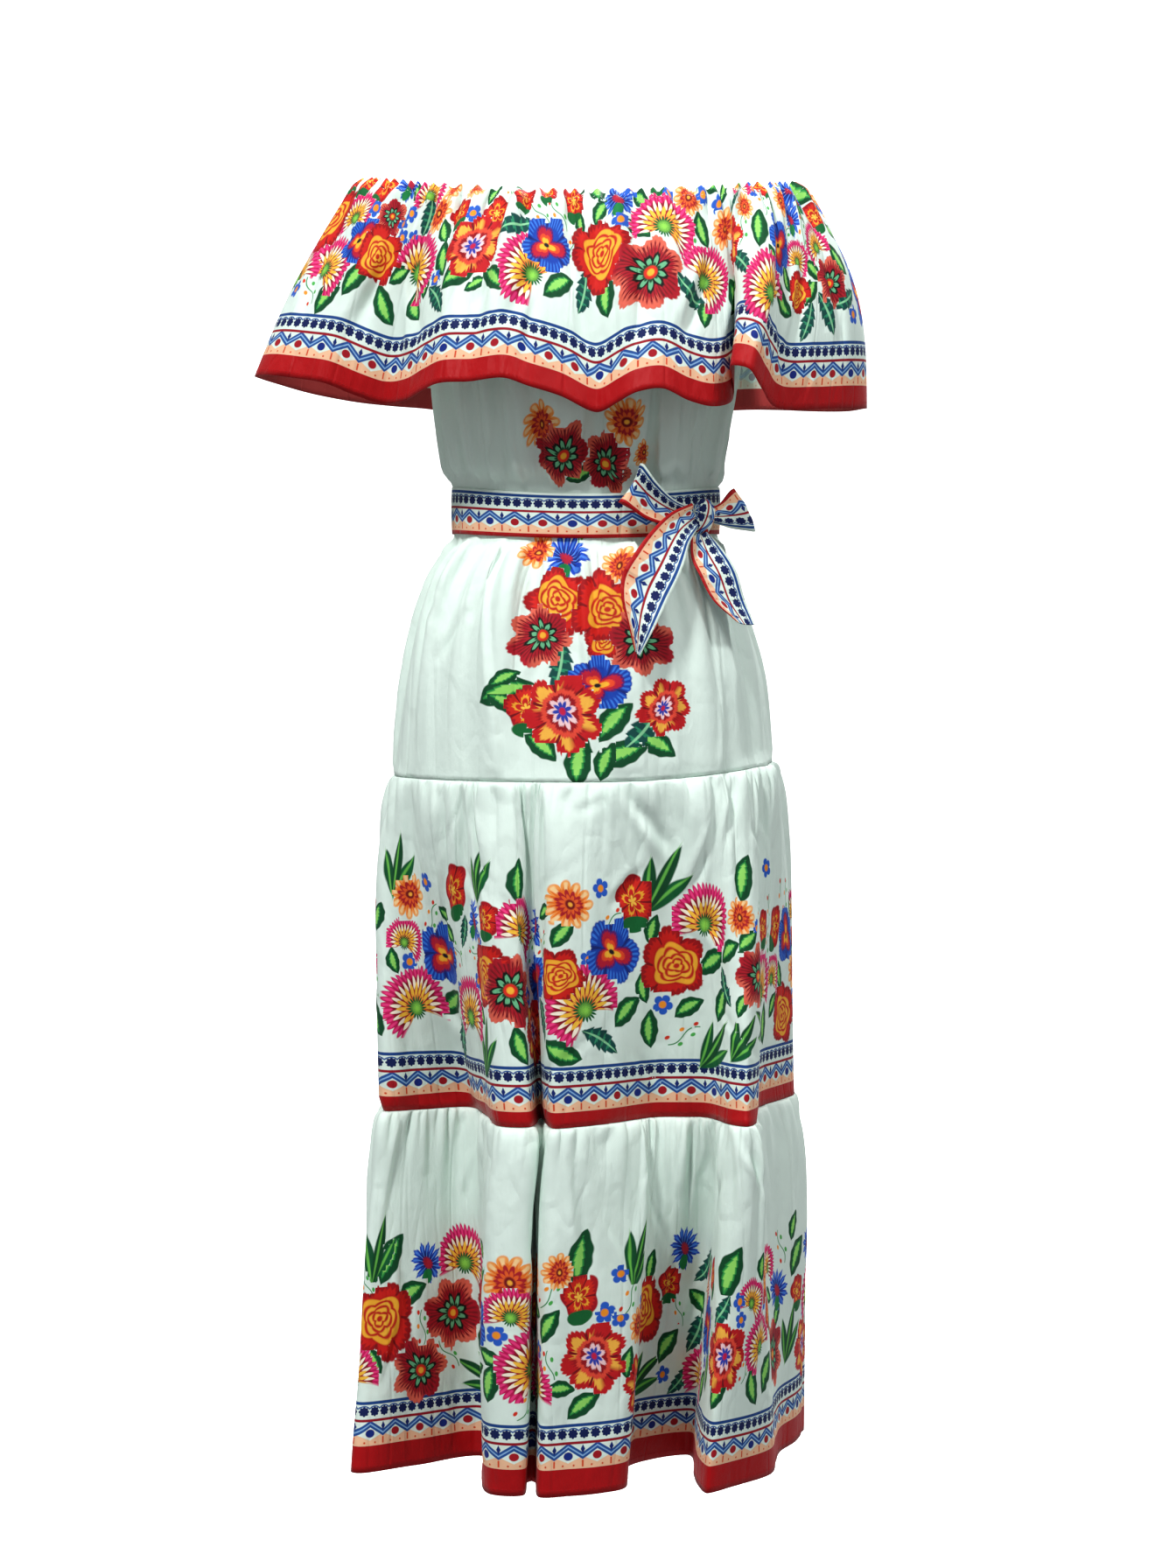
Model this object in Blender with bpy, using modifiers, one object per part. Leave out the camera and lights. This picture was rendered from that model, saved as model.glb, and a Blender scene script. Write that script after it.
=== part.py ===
"""Off-shoulder tiered dress with a gathered neck ruffle and a sash belt tied in a bow.

Metres, +Z up. The origin is the middle of the elastic neckline, halfway up between its lowest
point in front and its highest point at the side.
The front of the dress faces -Y and the viewer's right is +X. The tables are in millimetres and
degrees: "out" is a distance towards the front, so it is -Y. A ring angle of 0 is the front, 90
the viewer's right side, -90 the left side and 180 the back.
"""
import math
from collections import namedtuple

import bpy
from mathutils import Matrix, Vector

MM = 0.001

# Driving dimensions, in metres
CLOTH_WALL = 0.0013
BELT_WALL = 0.0015
SEAM_GAP = 0.0004
BELT_RELIEF = 0.0005
BODY_TUCK = CLOTH_WALL + SEAM_GAP

# Heights of the two lower seams and the hem, in metres
LOWER_TIER_SEAM_Z = -0.822
HEM_Z = -1.145

# Number of facets round each piece, and to each row of a fold table
BODY_COLUMNS = 26
BELT_COLUMNS = 72
FACETS_PER_FOLD = 2

# How far down the ruffle and the tiers each row of facets lies, from the seam to the edge
RUFFLE_SHARES = (0.0, 0.06, 0.14, 0.3, 0.52, 0.76, 1.0)
TIER_SHARES = (0.0, 0.05, 0.14, 0.3, 0.54, 0.78, 1.0)

# Small gathers, one to every second column, in metres
NECK_PUCKER = 0.0022
RUFFLE_GATHER = 0.0030
TIER_GATHER = 0.0028
TIER_PUFF = 0.007

# Body rings from the neckline to the first tier seam. "reach" is how far round from the middle
# the front and back panels go, which leaves the armholes open above the side seams.
BodyRing = namedtuple("BodyRing", "level front_drop back_drop right_rise "
                                  "left right front back reach blouse skirt")
BODY_RINGS = (
    BodyRing(11, 21, 8, -4, 200, 190, 98, 92, 50, 0.0, 0.0),      # elastic neckline
    BodyRing(-9, 19, 8, -3, 188, 180, 101, 95, 49, 0.15, 0.0),    # below the casing
    BodyRing(-50, 12, 6, 0, 166, 162, 110, 101, 50, 0.45, 0.0),   # upper bust
    BodyRing(-100, 6, 2, 0, 149, 147, 118, 105, 56, 0.7, 0.0),    # bust
    BodyRing(-132, 2, 0, 0, 141, 140, 118, 104, 70, 0.85, 0.0),   # armhole curve
    BodyRing(-152, 0, 0, 0, 137, 137, 117, 103, 89.9, 0.95, 0.0),  # underarm
    BodyRing(-200, 0, 0, 0, 133, 133, 111, 100, 89.9, 1.0, 0.0),  # ribs
    BodyRing(-240, 5, 0, 0, 128, 126, 105, 97, 89.9, 1.0, 0.0),   # bloused over the belt
    BodyRing(-258, 9, 0, 0, 119, 119, 97, 91, 89.9, 0.0, 0.0),    # top of the belt
    BodyRing(-308, 6, 0, 0, 119, 119, 97, 91, 89.9, 0.0, 0.0),    # foot of the belt
    BodyRing(-322, 4, 0, 0, 131, 127, 107, 99, 89.9, 0.0, 0.9),   # flare below the belt
    BodyRing(-346, 1, 0, 0, 149, 139, 118, 110, 89.9, 0.0, 1.0),  # high hip
    BodyRing(-380, 0, 0, 0, 160, 150, 127, 120, 89.9, 0.0, 0.9),  # hip
    BodyRing(-442, 0, 0, 4, 166, 162, 135, 129, 89.9, 0.0, 0.6),  # thigh
    BodyRing(-522, 0, 0, 12, 174, 170, 140, 134, 89.9, 0.0, 0.35),  # first tier seam
)
BODY_STEPS = (1, 1, 2, 1, 1, 1, 1, 1, 1, 1, 1, 1, 2, 2)

# Soft folds of the body: where each lies, its half width, and how far it stands out above
# the belt and below it
Fold = namedtuple("Fold", "angle half_width blouse skirt")
BODY_FOLDS = (
    Fold(-72, 10, 5, 7), Fold(-55, 9, 7, 9), Fold(-42, 8, 4, 6), Fold(-27, 9, 8, 13),
    Fold(-10, 9, 7, 5), Fold(5, 6, -7, -6), Fold(17, 8, 8, 7), Fold(29, 7, -3, 4),
    Fold(40, 9, 9, 10), Fold(55, 7, 4, 6), Fold(69, 8, 8, 11), Fold(104, 9, 6, 8),
    Fold(122, 9, 8, 10), Fold(139, 8, 5, 7), Fold(156, 9, 9, 12), Fold(171, 7, 4, 5),
    Fold(187, 8, 8, 9), Fold(204, 9, 6, 11), Fold(221, 8, 9, 7), Fold(238, 9, 5, 10),
    Fold(255, 8, 7, 6),
)

# Ruffle folds, one row a crest or valley: where it starts on the neckline ring, where its
# hem lies, and how far the cloth rounds out between the two
RuffleFold = namedtuple("RuffleFold", "angle x out level puff")
RUFFLE_FRONT_FOLDS = (
    RuffleFold(-84, -298, 14, -162, 12), RuffleFold(-74, -284, 36, -163, 12),
    RuffleFold(-64, -258, 54, -167, 12), RuffleFold(-56, -232, 66, -172, 12),
    RuffleFold(-48, -206, 62, -182, 9), RuffleFold(-42, -181, 62, -190, 7),
    RuffleFold(-37, -160, 84, -190, 10), RuffleFold(-32, -143, 111, -183, 14),
    RuffleFold(-27, -127, 130, -177, 14), RuffleFold(-20, -100, 144, -176, 14),
    RuffleFold(-14, -70, 158, -174, 15), RuffleFold(-9, -48, 156, -181, 15),
    RuffleFold(-4, -22, 148, -189, 14), RuffleFold(2, 10, 140, -203, 14),
    RuffleFold(8, 32, 148, -194, 14), RuffleFold(13, 46, 156, -186, 15),
    RuffleFold(19, 67, 158, -183, 14), RuffleFold(26, 91, 145, -193, 12),
    RuffleFold(32, 109, 130, -197, 10), RuffleFold(37, 124, 110, -193, 9),
    RuffleFold(41, 130, 92, -184, 8), RuffleFold(44, 127, 116, -171, 12),
    RuffleFold(47, 125, 138, -162, 18), RuffleFold(51, 142, 150, -166, 20),
    RuffleFold(56, 154, 130, -182, 20), RuffleFold(61, 166, 106, -196, 20),
    RuffleFold(68, 198, 76, -196, 24), RuffleFold(76, 232, 46, -193, 26),
    RuffleFold(85, 253, 14, -191, 25),
)
RUFFLE_BACK_FOLDS = (
    RuffleFold(95, 254, -16, -190, 25), RuffleFold(105, 242, -50, -190, 22),
    RuffleFold(115, 212, -82, -188, 18), RuffleFold(124, 184, -96, -186, 13),
    RuffleFold(132, 158, -124, -184, 14), RuffleFold(141, 124, -144, -184, 15),
    RuffleFold(150, 92, -138, -186, 10), RuffleFold(158, 64, -150, -185, 12),
    RuffleFold(167, 34, -162, -184, 14), RuffleFold(176, 5, -150, -186, 10),
    RuffleFold(185, -24, -153, -186, 12), RuffleFold(194, -58, -162, -184, 14),
    RuffleFold(203, -92, -146, -186, 10), RuffleFold(212, -122, -148, -185, 12),
    RuffleFold(221, -152, -138, -182, 13), RuffleFold(230, -182, -112, -181, 10),
    RuffleFold(239, -214, -102, -178, 12), RuffleFold(250, -254, -78, -172, 14),
    RuffleFold(257, -284, -46, -165, 13), RuffleFold(264, -297, -18, -162, 12),
)

# Tier folds, one row a crest or valley: its angle on the first tier seam, then its place on
# the second tier seam and at the hem
TierFold = namedtuple("TierFold", "angle seam_x seam_out hem_x hem_out")
TIER_FRONT_FOLDS = (
    TierFold(-84, -182, 30, -195, 40), TierFold(-74, -179, 58, -206, 80),
    TierFold(-61, -146, 48, -152, 58), TierFold(-47, -106, 34, -94, 28),
    TierFold(-39, -88, 84, -86, 88), TierFold(-31, -74, 144, -81, 150),
    TierFold(-21, -49, 149, -55, 156), TierFold(-16, -39, 100, -48, 112),
    TierFold(-11, -27, 156, -40, 162), TierFold(-3, -6, 148, -14, 156),
    TierFold(6, 20, 130, 12, 147), TierFold(14, 45, 106, 33, 132),
    TierFold(21, 62, 93, 38, 66), TierFold(28, 84, 91, 62, 36),
    TierFold(35, 106, 94, 94, 18), TierFold(40, 117, 112, 99, 90),
    TierFold(45, 126, 134, 106, 150), TierFold(51, 141, 146, 130, 132),
    TierFold(57, 150, 126, 164, 88), TierFold(63, 149, 70, 170, 44),
    TierFold(70, 160, 28, 178, 8), TierFold(78, 182, -14, 197, -28),
    TierFold(86, 194, -42, 206, -56),
)
TIER_BACK_FOLDS = (
    TierFold(94, 193, -68, 204, -84), TierFold(103, 180, -98, 192, -116),
    TierFold(113, 150, -98, 154, -100), TierFold(121, 130, -98, 130, -94),
    TierFold(130, 117, -136, 120, -150), TierFold(139, 92, -149, 93, -172),
    TierFold(147, 68, -140, 66, -160), TierFold(153, 56, -110, 54, -100),
    TierFold(159, 45, -138, 44, -150), TierFold(168, 22, -154, 22, -176),
    TierFold(178, -6, -154, -8, -180), TierFold(186, -29, -140, -33, -158),
    TierFold(192, -40, -108, -44, -96), TierFold(198, -51, -138, -55, -148),
    TierFold(207, -73, -149, -77, -172), TierFold(216, -98, -138, -104, -156),
    TierFold(223, -116, -106, -122, -100), TierFold(231, -135, -98, -143, -104),
    TierFold(241, -160, -94, -176, -112), TierFold(252, -175, -66, -193, -74),
    TierFold(264, -181, -30, -195, -34),
)

# Belt band: its edges at the sides, and how much lower they run in front
BELT_TOP = -0.262
BELT_FOOT = -0.304
BELT_TOP_DIP = 0.009
BELT_FOOT_DIP = 0.006

# Knot: its angle on the belt, height, and size along the belt, outwards and upwards
KNOT_ANGLE = 53
KNOT_HEIGHT = -0.2905
KNOT_SIZE = (0.022, 0.018, 0.032)
KNOT_TILT = 22

# Bow ribbons: each row gives the two long edges of the cloth at one place along it
Ribbon = namedtuple("Ribbon", "x1 out1 level1 x2 out2 level2")
LOOP_LEFT = (
    Ribbon(91, 82.5, -282, 93, 80.5, -297), Ribbon(76, 101, -275, 77, 97, -299),
    Ribbon(62, 115, -261, 54, 110, -294), Ribbon(51, 122, -247, 33, 117, -280),
    Ribbon(47, 119, -245, 29, 113, -279), Ribbon(48, 114, -247, 31, 107, -280),
    Ribbon(62, 107, -261, 55, 100, -292), Ribbon(76, 94, -275, 77, 88, -297),
    Ribbon(92, 76.7, -282, 94.3, 73.4, -297),
)
LOOP_RIGHT = (
    Ribbon(113.4, 61, -282, 114.6, 60, -296), Ribbon(122, 56, -276, 127, 53, -299),
    Ribbon(130, 51, -266, 150, 40, -302), Ribbon(132, 46, -265, 153, 35, -302),
    Ribbon(130, 40, -266, 150, 28, -302), Ribbon(122, 43, -276, 127, 42, -299),
    Ribbon(116, 51, -283, 117, 50, -295),
)
TAIL_LEFT = (
    Ribbon(93.8, 84.2, -279, 98.8, 79.2, -300), Ribbon(75, 107, -288, 93, 98, -311),
    Ribbon(58, 124, -304, 89, 115, -324), Ribbon(44, 133, -322, 82, 127, -343),
    Ribbon(32, 140, -342, 72, 137, -363), Ribbon(31, 144, -360, 62, 145, -384),
    Ribbon(37, 148, -384, 53, 149, -401), Ribbon(43, 150, -407, 47, 150, -412),
)
TAIL_RIGHT = (
    Ribbon(93, 81, -307, 108.6, 67, -304), Ribbon(93, 98, -328, 121, 76, -319),
    Ribbon(101, 107, -345, 134, 80, -341), Ribbon(115, 111, -366, 143, 82, -368),
    Ribbon(131, 106, -382, 149, 88, -386),
)
RIBBON_STEPS = 2
RIBBON_FACETS_ACROSS = 3
LOOP_BOW = 0.003

# Cloth colours
PRINTED_WHITE = (0.86, 0.88, 0.86)
BORDER_PRINT = (0.62, 0.55, 0.62)


def sine(degrees):
    return math.sin(math.radians(degrees))


def cosine(degrees):
    return math.cos(math.radians(degrees))


def blend(low, high, share):
    """Value or point that lies a share of the way from low to high."""
    return low + (high - low) * share


def steady_slopes(values):
    """Slopes at evenly spaced values that let a cubic pass through them without overshoot."""
    steps = [after - before for before, after in zip(values, values[1:])]
    slopes = [steps[0]]
    for before, after in zip(steps, steps[1:]):
        rising_together = before * after > 0
        slopes.append(2 * before * after / (before + after) if rising_together else 0.0)
    slopes.append(steps[-1])
    return slopes


def along_table(values, place):
    """Smooth value at a place in a column of a table, where each row counts as one."""
    slopes = steady_slopes(values)
    row = min(int(place), len(values) - 2)
    t = place - row
    near_low = (1 + 2 * t) * (1 - t) ** 2
    near_high = t * t * (3 - 2 * t)
    rise_low = t * (1 - t) ** 2
    rise_high = t * t * (t - 1)
    return (near_low * values[row] + near_high * values[row + 1]
            + rise_low * slopes[row] + rise_high * slopes[row + 1])


BODY_COLUMN_VALUES = {name: [getattr(ring, name) for ring in BODY_RINGS]
                      for name in BodyRing._fields}


def body_ring(place):
    """Ring of the body at a place in its table, with every column read smoothly."""
    return BodyRing(*[along_table(BODY_COLUMN_VALUES[name], place) for name in BodyRing._fields])


def ring_point(ring, angle):
    """Point on a body ring before any fold."""
    s, c = sine(angle), cosine(angle)
    side = ring.right if s > 0 else ring.left
    depth = ring.front if c > 0 else ring.back
    drop = ring.front_drop if c > 0 else ring.back_drop
    rise = ring.right_rise if s > 0 else 0.0
    return Vector((side * s, -depth * c, ring.level - drop * c * c + rise * s * s)) * MM


def ring_outward(ring, angle):
    """Level direction that points straight out of a body ring."""
    s, c = sine(angle), cosine(angle)
    side = ring.right if s > 0 else ring.left
    depth = ring.front if c > 0 else ring.back
    return Vector((s / side, -c / depth, 0)).normalized()


def hump(offset):
    """Smooth rise and fall between -1 and 1."""
    return 0.5 + 0.5 * math.cos(math.pi * offset) if abs(offset) < 1 else 0.0


def fold_height(ring, angle):
    """How far the folds of the body stand out at a ring angle, in metres."""
    total = 0.0
    for fold in BODY_FOLDS:
        offset = (angle - fold.angle + 180) % 360 - 180
        height = fold.blouse * ring.blouse + fold.skirt * ring.skirt
        total += height * hump(offset / fold.half_width)
    return total * MM


def body_point(place, angle, inset=0.0):
    ring = body_ring(place)
    out = ring_outward(ring, angle)
    return ring_point(ring, angle) + out * (fold_height(ring, angle) - inset)


def neckline_point(angle):
    return ring_point(BODY_RINGS[0], angle)


def curve_through(before, start, end, after, share):
    """Point on a centripetal spline, a share of the way from start to end."""
    knot_start = (start - before).length ** 0.5
    knot_end = knot_start + (end - start).length ** 0.5
    knot_after = knot_end + (after - end).length ** 0.5
    t = blend(knot_start, knot_end, share)
    first = blend(before, start, t / knot_start)
    middle = blend(start, end, (t - knot_start) / (knot_end - knot_start))
    last = blend(end, after, (t - knot_end) / (knot_after - knot_end))
    low = blend(first, middle, t / knot_end)
    high = blend(middle, last, (t - knot_start) / (knot_after - knot_start))
    return blend(low, high, (t - knot_start) / (knot_end - knot_start))


def round_loop(points, place):
    """Point at a place on a closed spline, where each given point counts as one."""
    row = math.floor(place)
    count = len(points)
    near = [points[(row + step) % count] for step in (-1, 0, 1, 2)]
    return curve_through(*near, place - row)


def round_angles(folds, place):
    """Ring angle at a place on a closed fold table."""
    row = math.floor(place)
    count = len(folds)
    start = folds[row % count].angle
    end = folds[(row + 1) % count].angle
    return start + ((end - start) % 360) * (place - row)


def front_point(x, out, level):
    """Point given in millimetres to the right, to the front and up."""
    return Vector((x, -out, level)) * MM


RUFFLE_FOLDS = RUFFLE_FRONT_FOLDS + RUFFLE_BACK_FOLDS
RUFFLE_HEM = [front_point(fold.x, fold.out, fold.level) for fold in RUFFLE_FOLDS]
TIER_FOLDS = TIER_FRONT_FOLDS + TIER_BACK_FOLDS
TIER_SEAM = [front_point(fold.seam_x, fold.seam_out, LOWER_TIER_SEAM_Z / MM) for fold in TIER_FOLDS]
TIER_HEM = [front_point(fold.hem_x, fold.hem_out, HEM_Z / MM) for fold in TIER_FOLDS]


def gather(place, share, size, fade):
    """Small gathers that start below a seam and fade out, alternating from column to column."""
    crest = 0.0 if round(place * FACETS_PER_FOLD) % 2 else 1.0
    strength = min(share / 0.06, 1.0) * max(0.0, 1.0 - share / fade)
    return crest * size * strength


def ruffle_point(place, share):
    """Point on the ruffle at a place in its fold table and a share of the way to its hem."""
    angle = round_angles(RUFFLE_FOLDS, place)
    out = ring_outward(BODY_RINGS[0], angle)
    top = neckline_point(angle)
    hem = round_loop(RUFFLE_HEM, place)
    row = math.floor(place)
    count = len(RUFFLE_FOLDS)
    puff = blend(RUFFLE_FOLDS[row % count].puff, RUFFLE_FOLDS[(row + 1) % count].puff, place - row)
    rounding = puff * MM * math.sin(math.pi * share ** 0.8)
    pucker = 0.0 if round(place * FACETS_PER_FOLD) % 2 else NECK_PUCKER
    casing = max(0.0, 1.0 - share / 0.12)
    small = pucker * casing + gather(place, share, RUFFLE_GATHER, 0.6)
    return blend(top, hem, share) + out * (rounding + small)


def upper_tier_point(place, share):
    """Point on the tier between the two seams."""
    angle = round_angles(TIER_FOLDS, place)
    last = len(BODY_RINGS) - 1
    out = ring_outward(BODY_RINGS[last], angle)
    top = body_point(last, angle) - Vector((0, 0, SEAM_GAP))
    foot = round_loop(TIER_SEAM, place)
    puff = TIER_PUFF * math.sin(math.pi * min(share ** 0.6, 1.0))
    return blend(top, foot, share) + out * (puff + gather(place, share, TIER_GATHER, 0.5))


def lower_tier_point(place, share):
    """Point on the tier that ends at the hem."""
    angle = round_angles(TIER_FOLDS, place)
    out = ring_outward(BODY_RINGS[-1], angle)
    top = round_loop(TIER_SEAM, place) - Vector((0, 0, SEAM_GAP))
    foot = round_loop(TIER_HEM, place)
    puff = TIER_PUFF * math.sin(math.pi * min(share ** 0.6, 1.0))
    return blend(top, foot, share) + out * (puff + gather(place, share, TIER_GATHER, 0.5))


def part_side_seams(rows, gap):
    """Draw the two side edges of a panel in, so that it stays clear of its neighbour."""
    for row in rows:
        row[0] = row[0] + (row[1] - row[0]).normalized() * gap / 2
        row[-1] = row[-1] + (row[-2] - row[-1]).normalized() * gap / 2


def folded_panel(point_at, shares, first_place, last_place):
    """Rows of points of one panel, from a function of place and share."""
    count = round((last_place - first_place) * FACETS_PER_FOLD)
    places = [first_place + step / FACETS_PER_FOLD for step in range(count + 1)]
    rows = [[point_at(place, share) for place in places] for share in shares]
    part_side_seams(rows, SEAM_GAP)
    return rows


def body_panel(middle_angle):
    """Rows of points of the body's front or back, in one cut from neckline to tier seam."""
    rows = []
    for row, steps in enumerate(BODY_STEPS):
        for step in range(steps):
            rows.append(row + step / steps)
    rows.append(len(BODY_RINGS) - 1)
    panel = []
    for place in rows:
        reach = body_ring(place).reach
        tuck = BODY_TUCK * max(0.0, 1.0 - place)
        spread = [2 * column / BODY_COLUMNS - 1 for column in range(BODY_COLUMNS + 1)]
        panel.append([body_point(place, middle_angle + reach * u, tuck) for u in spread])
    return panel


def belt_rows():
    """Rows of points of the outer face of the belt band, once round the waist."""
    ring = BODY_RINGS[8]
    rows = []
    for level, dip in ((BELT_TOP, BELT_TOP_DIP), (BELT_FOOT, BELT_FOOT_DIP)):
        row = []
        for column in range(BELT_COLUMNS):
            angle = 360 * column / BELT_COLUMNS
            point = ring_point(ring, angle) + ring_outward(ring, angle) * (BELT_RELIEF + BELT_WALL)
            point.z = level - dip * max(0.0, cosine(angle)) ** 2
            row.append(point)
        rows.append(row)
    return rows


def ribbon_rows(table):
    """Rows of points of a ribbon between its two long edges, slightly bowed across."""
    edges = ([front_point(row.x1, row.out1, row.level1) for row in table],
             [front_point(row.x2, row.out2, row.level2) for row in table])
    padded = [[2 * edge[0] - edge[1], *edge, 2 * edge[-1] - edge[-2]] for edge in edges]
    steps = [(row, step / RIBBON_STEPS) for row in range(len(table) - 1)
             for step in range(RIBBON_STEPS)] + [(len(table) - 2, 1.0)]
    rows = []
    for row, share in steps:
        ends = [curve_through(*edge[row:row + 4], share) for edge in padded]
        ahead = [curve_through(*edge[row:row + 4], share + 0.01) for edge in padded]
        lift = (ends[1] - ends[0]).cross(ahead[0] - ends[0]).normalized() * LOOP_BOW
        across = [step / RIBBON_FACETS_ACROSS for step in range(RIBBON_FACETS_ACROSS + 1)]
        rows.append([blend(ends[0], ends[1], u) + lift * math.sin(math.pi * u) for u in across])
    return rows


def cloth_material(name, colour, roughness):
    material = bpy.data.materials.new(name)
    material.use_nodes = True
    shader = material.node_tree.nodes["Principled BSDF"]
    shader.inputs["Base Color"].default_value = (*colour, 1.0)
    shader.inputs["Roughness"].default_value = roughness
    shader.inputs["Metallic"].default_value = 0.0
    return material


def wall_from_rows(name, rows, collection, colour, thickness=CLOTH_WALL, closed=False, offset=-1.0):
    """Named cloth wall: a sheet lofted through rows of points, thickened by Solidify."""
    width = len(rows[0])
    points = [point for row in rows for point in row]
    spans = width if closed else width - 1
    faces = []
    for row in range(len(rows) - 1):
        for column in range(spans):
            after = (column + 1) % width
            top, foot = row * width, (row + 1) * width
            faces.append((top + column, foot + column, foot + after, top + after))
    mesh = bpy.data.meshes.new(name)
    mesh.from_pydata(points, [], faces)
    mesh.shade_smooth()
    mesh.materials.append(cloth_material(name, colour, 0.8))
    wall = bpy.data.objects.new(name, mesh)
    collection.objects.link(wall)
    solidify = wall.modifiers.new("cloth thickness", "SOLIDIFY")
    solidify.thickness = thickness
    solidify.offset = offset
    return wall


def build_knot(collection):
    """Knot of the bow: a flattened ball wrapped round the ribbons, outside the belt band."""
    ring = BODY_RINGS[8]
    out = ring_outward(ring, KNOT_ANGLE)
    stand_off = BELT_RELIEF + BELT_WALL + SEAM_GAP + KNOT_SIZE[1] / 2
    centre = ring_point(ring, KNOT_ANGLE) + out * stand_off
    centre.z = KNOT_HEIGHT
    along = Vector((-out.y, out.x, 0))
    facing = Matrix((along, -out, Vector((0, 0, 1)))).transposed().to_4x4()
    bpy.ops.mesh.primitive_uv_sphere_add(segments=20, ring_count=12, radius=0.5)
    knot = bpy.context.object
    knot.name = "bow_knot"
    tilt = Matrix.Rotation(math.radians(KNOT_TILT), 4, "Y")
    size = Matrix.Diagonal((*KNOT_SIZE, 1))
    knot.data.transform(Matrix.Translation(centre) @ facing @ tilt @ size)
    knot.data.shade_smooth()
    knot.data.materials.append(cloth_material("bow_knot", BORDER_PRINT, 0.75))
    for owner in knot.users_collection:
        owner.objects.unlink(knot)
    collection.objects.link(knot)


def build_dress():
    for old in list(bpy.data.objects):
        bpy.data.objects.remove(old, do_unlink=True)
    dress = bpy.data.collections.new("off_shoulder_tiered_dress")
    bpy.context.scene.collection.children.link(dress)

    wall_from_rows("body_front", body_panel(0), dress, PRINTED_WHITE)
    wall_from_rows("body_back", body_panel(180), dress, PRINTED_WHITE)

    right_seam = len(RUFFLE_FRONT_FOLDS) - 0.5
    end = len(RUFFLE_FOLDS) - 0.5
    front = folded_panel(ruffle_point, RUFFLE_SHARES, -0.5, right_seam)
    back = folded_panel(ruffle_point, RUFFLE_SHARES, right_seam, end)
    wall_from_rows("ruffle_front", front, dress, PRINTED_WHITE)
    wall_from_rows("ruffle_back", back, dress, PRINTED_WHITE)

    right_seam = len(TIER_FRONT_FOLDS) - 0.5
    end = len(TIER_FOLDS) - 0.5
    for tier, point_at in (("upper_tier", upper_tier_point), ("lower_tier", lower_tier_point)):
        front = folded_panel(point_at, TIER_SHARES, -0.5, right_seam)
        back = folded_panel(point_at, TIER_SHARES, right_seam, end)
        wall_from_rows(tier + "_front", front, dress, PRINTED_WHITE)
        wall_from_rows(tier + "_back", back, dress, PRINTED_WHITE)

    wall_from_rows("belt_band", belt_rows(), dress, BORDER_PRINT, BELT_WALL, closed=True)
    build_knot(dress)
    ribbons = (("bow_loop_left", LOOP_LEFT), ("bow_loop_right", LOOP_RIGHT),
               ("bow_tail_left", TAIL_LEFT), ("bow_tail_right", TAIL_RIGHT))
    for name, table in ribbons:
        wall_from_rows(name, ribbon_rows(table), dress, BORDER_PRINT, offset=0.0)


build_dress()
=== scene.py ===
"""Looks of the off-shoulder tiered dress: draped cloth, print, bow, stitching, light and camera.

Metres, +Z up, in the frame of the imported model: the origin is the middle of the elastic
neckline, halfway up it, the front faces -Y and the viewer's right is +X. The shape tables are
the solids' own, in millimetres and degrees, where "out" is a distance towards the front. Cloth
places are given as "across", along the width of the cut cloth, and "up", from its lower edge.
Above and below the belt the cloth lies up to 9 mm inside the solids' outline, as it is seen.
"""
import math
from collections import namedtuple

import bpy
import numpy as np
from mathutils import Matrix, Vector


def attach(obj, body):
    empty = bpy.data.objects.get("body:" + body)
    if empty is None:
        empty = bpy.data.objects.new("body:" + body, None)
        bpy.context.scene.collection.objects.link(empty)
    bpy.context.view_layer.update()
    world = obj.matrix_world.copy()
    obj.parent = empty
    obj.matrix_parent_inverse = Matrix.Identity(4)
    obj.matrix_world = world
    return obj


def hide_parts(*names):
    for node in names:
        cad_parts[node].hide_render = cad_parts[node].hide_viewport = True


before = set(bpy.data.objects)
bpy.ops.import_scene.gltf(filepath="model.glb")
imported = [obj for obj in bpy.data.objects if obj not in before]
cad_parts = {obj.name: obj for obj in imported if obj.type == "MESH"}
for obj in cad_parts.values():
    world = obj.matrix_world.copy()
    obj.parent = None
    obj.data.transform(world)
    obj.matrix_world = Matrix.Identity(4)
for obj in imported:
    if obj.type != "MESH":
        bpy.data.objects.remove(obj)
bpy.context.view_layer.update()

MM = 0.001

# Wall and gap sizes of the solids, in metres
CLOTH_WALL = 0.0013
BELT_WALL = 0.0015
SEAM_GAP = 0.0004
BELT_RELIEF = 0.0005
LOWER_TIER_SEAM_Z = -0.822
HEM_Z = -1.145
TIER_PUFF = 0.007

# Thin shells of the visible cloth, and the spacing of their points, across and down. The folds
# run down, so it is closer across.
SHELL = 0.0006
BELT_SHELL = 0.0009
RIBBON_SHELL = 0.0008
CLOTH_STEP = (0.0024, 0.0046)
BODY_STEP = (0.0023, 0.0042)
RUFFLE_STEP = (0.0023, 0.0044)

# The camera's place, which also turns places seen in the photograph into places on the cloth
VIEW_DISTANCE = 2.9
EYE_LEVEL = -0.3775
FRAME_HEIGHT = 1.4293
AIM_DROP = 0.1536
AXIS_OFFSET = 0.0024

# Numbers of points on the belt, the ribbons and the knot
BELT_TURNS = 500
BELT_ROWS = 16
RIBBON_STEPS = 16    # between two rows of a ribbon's table
RIBBON_ROWS = 18
KNOT_TURNS = 72
KNOT_ROWS = 34


def rows(kind, *values):
    """Rows of a table with named columns."""
    return [kind(*row) for row in values]


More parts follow.
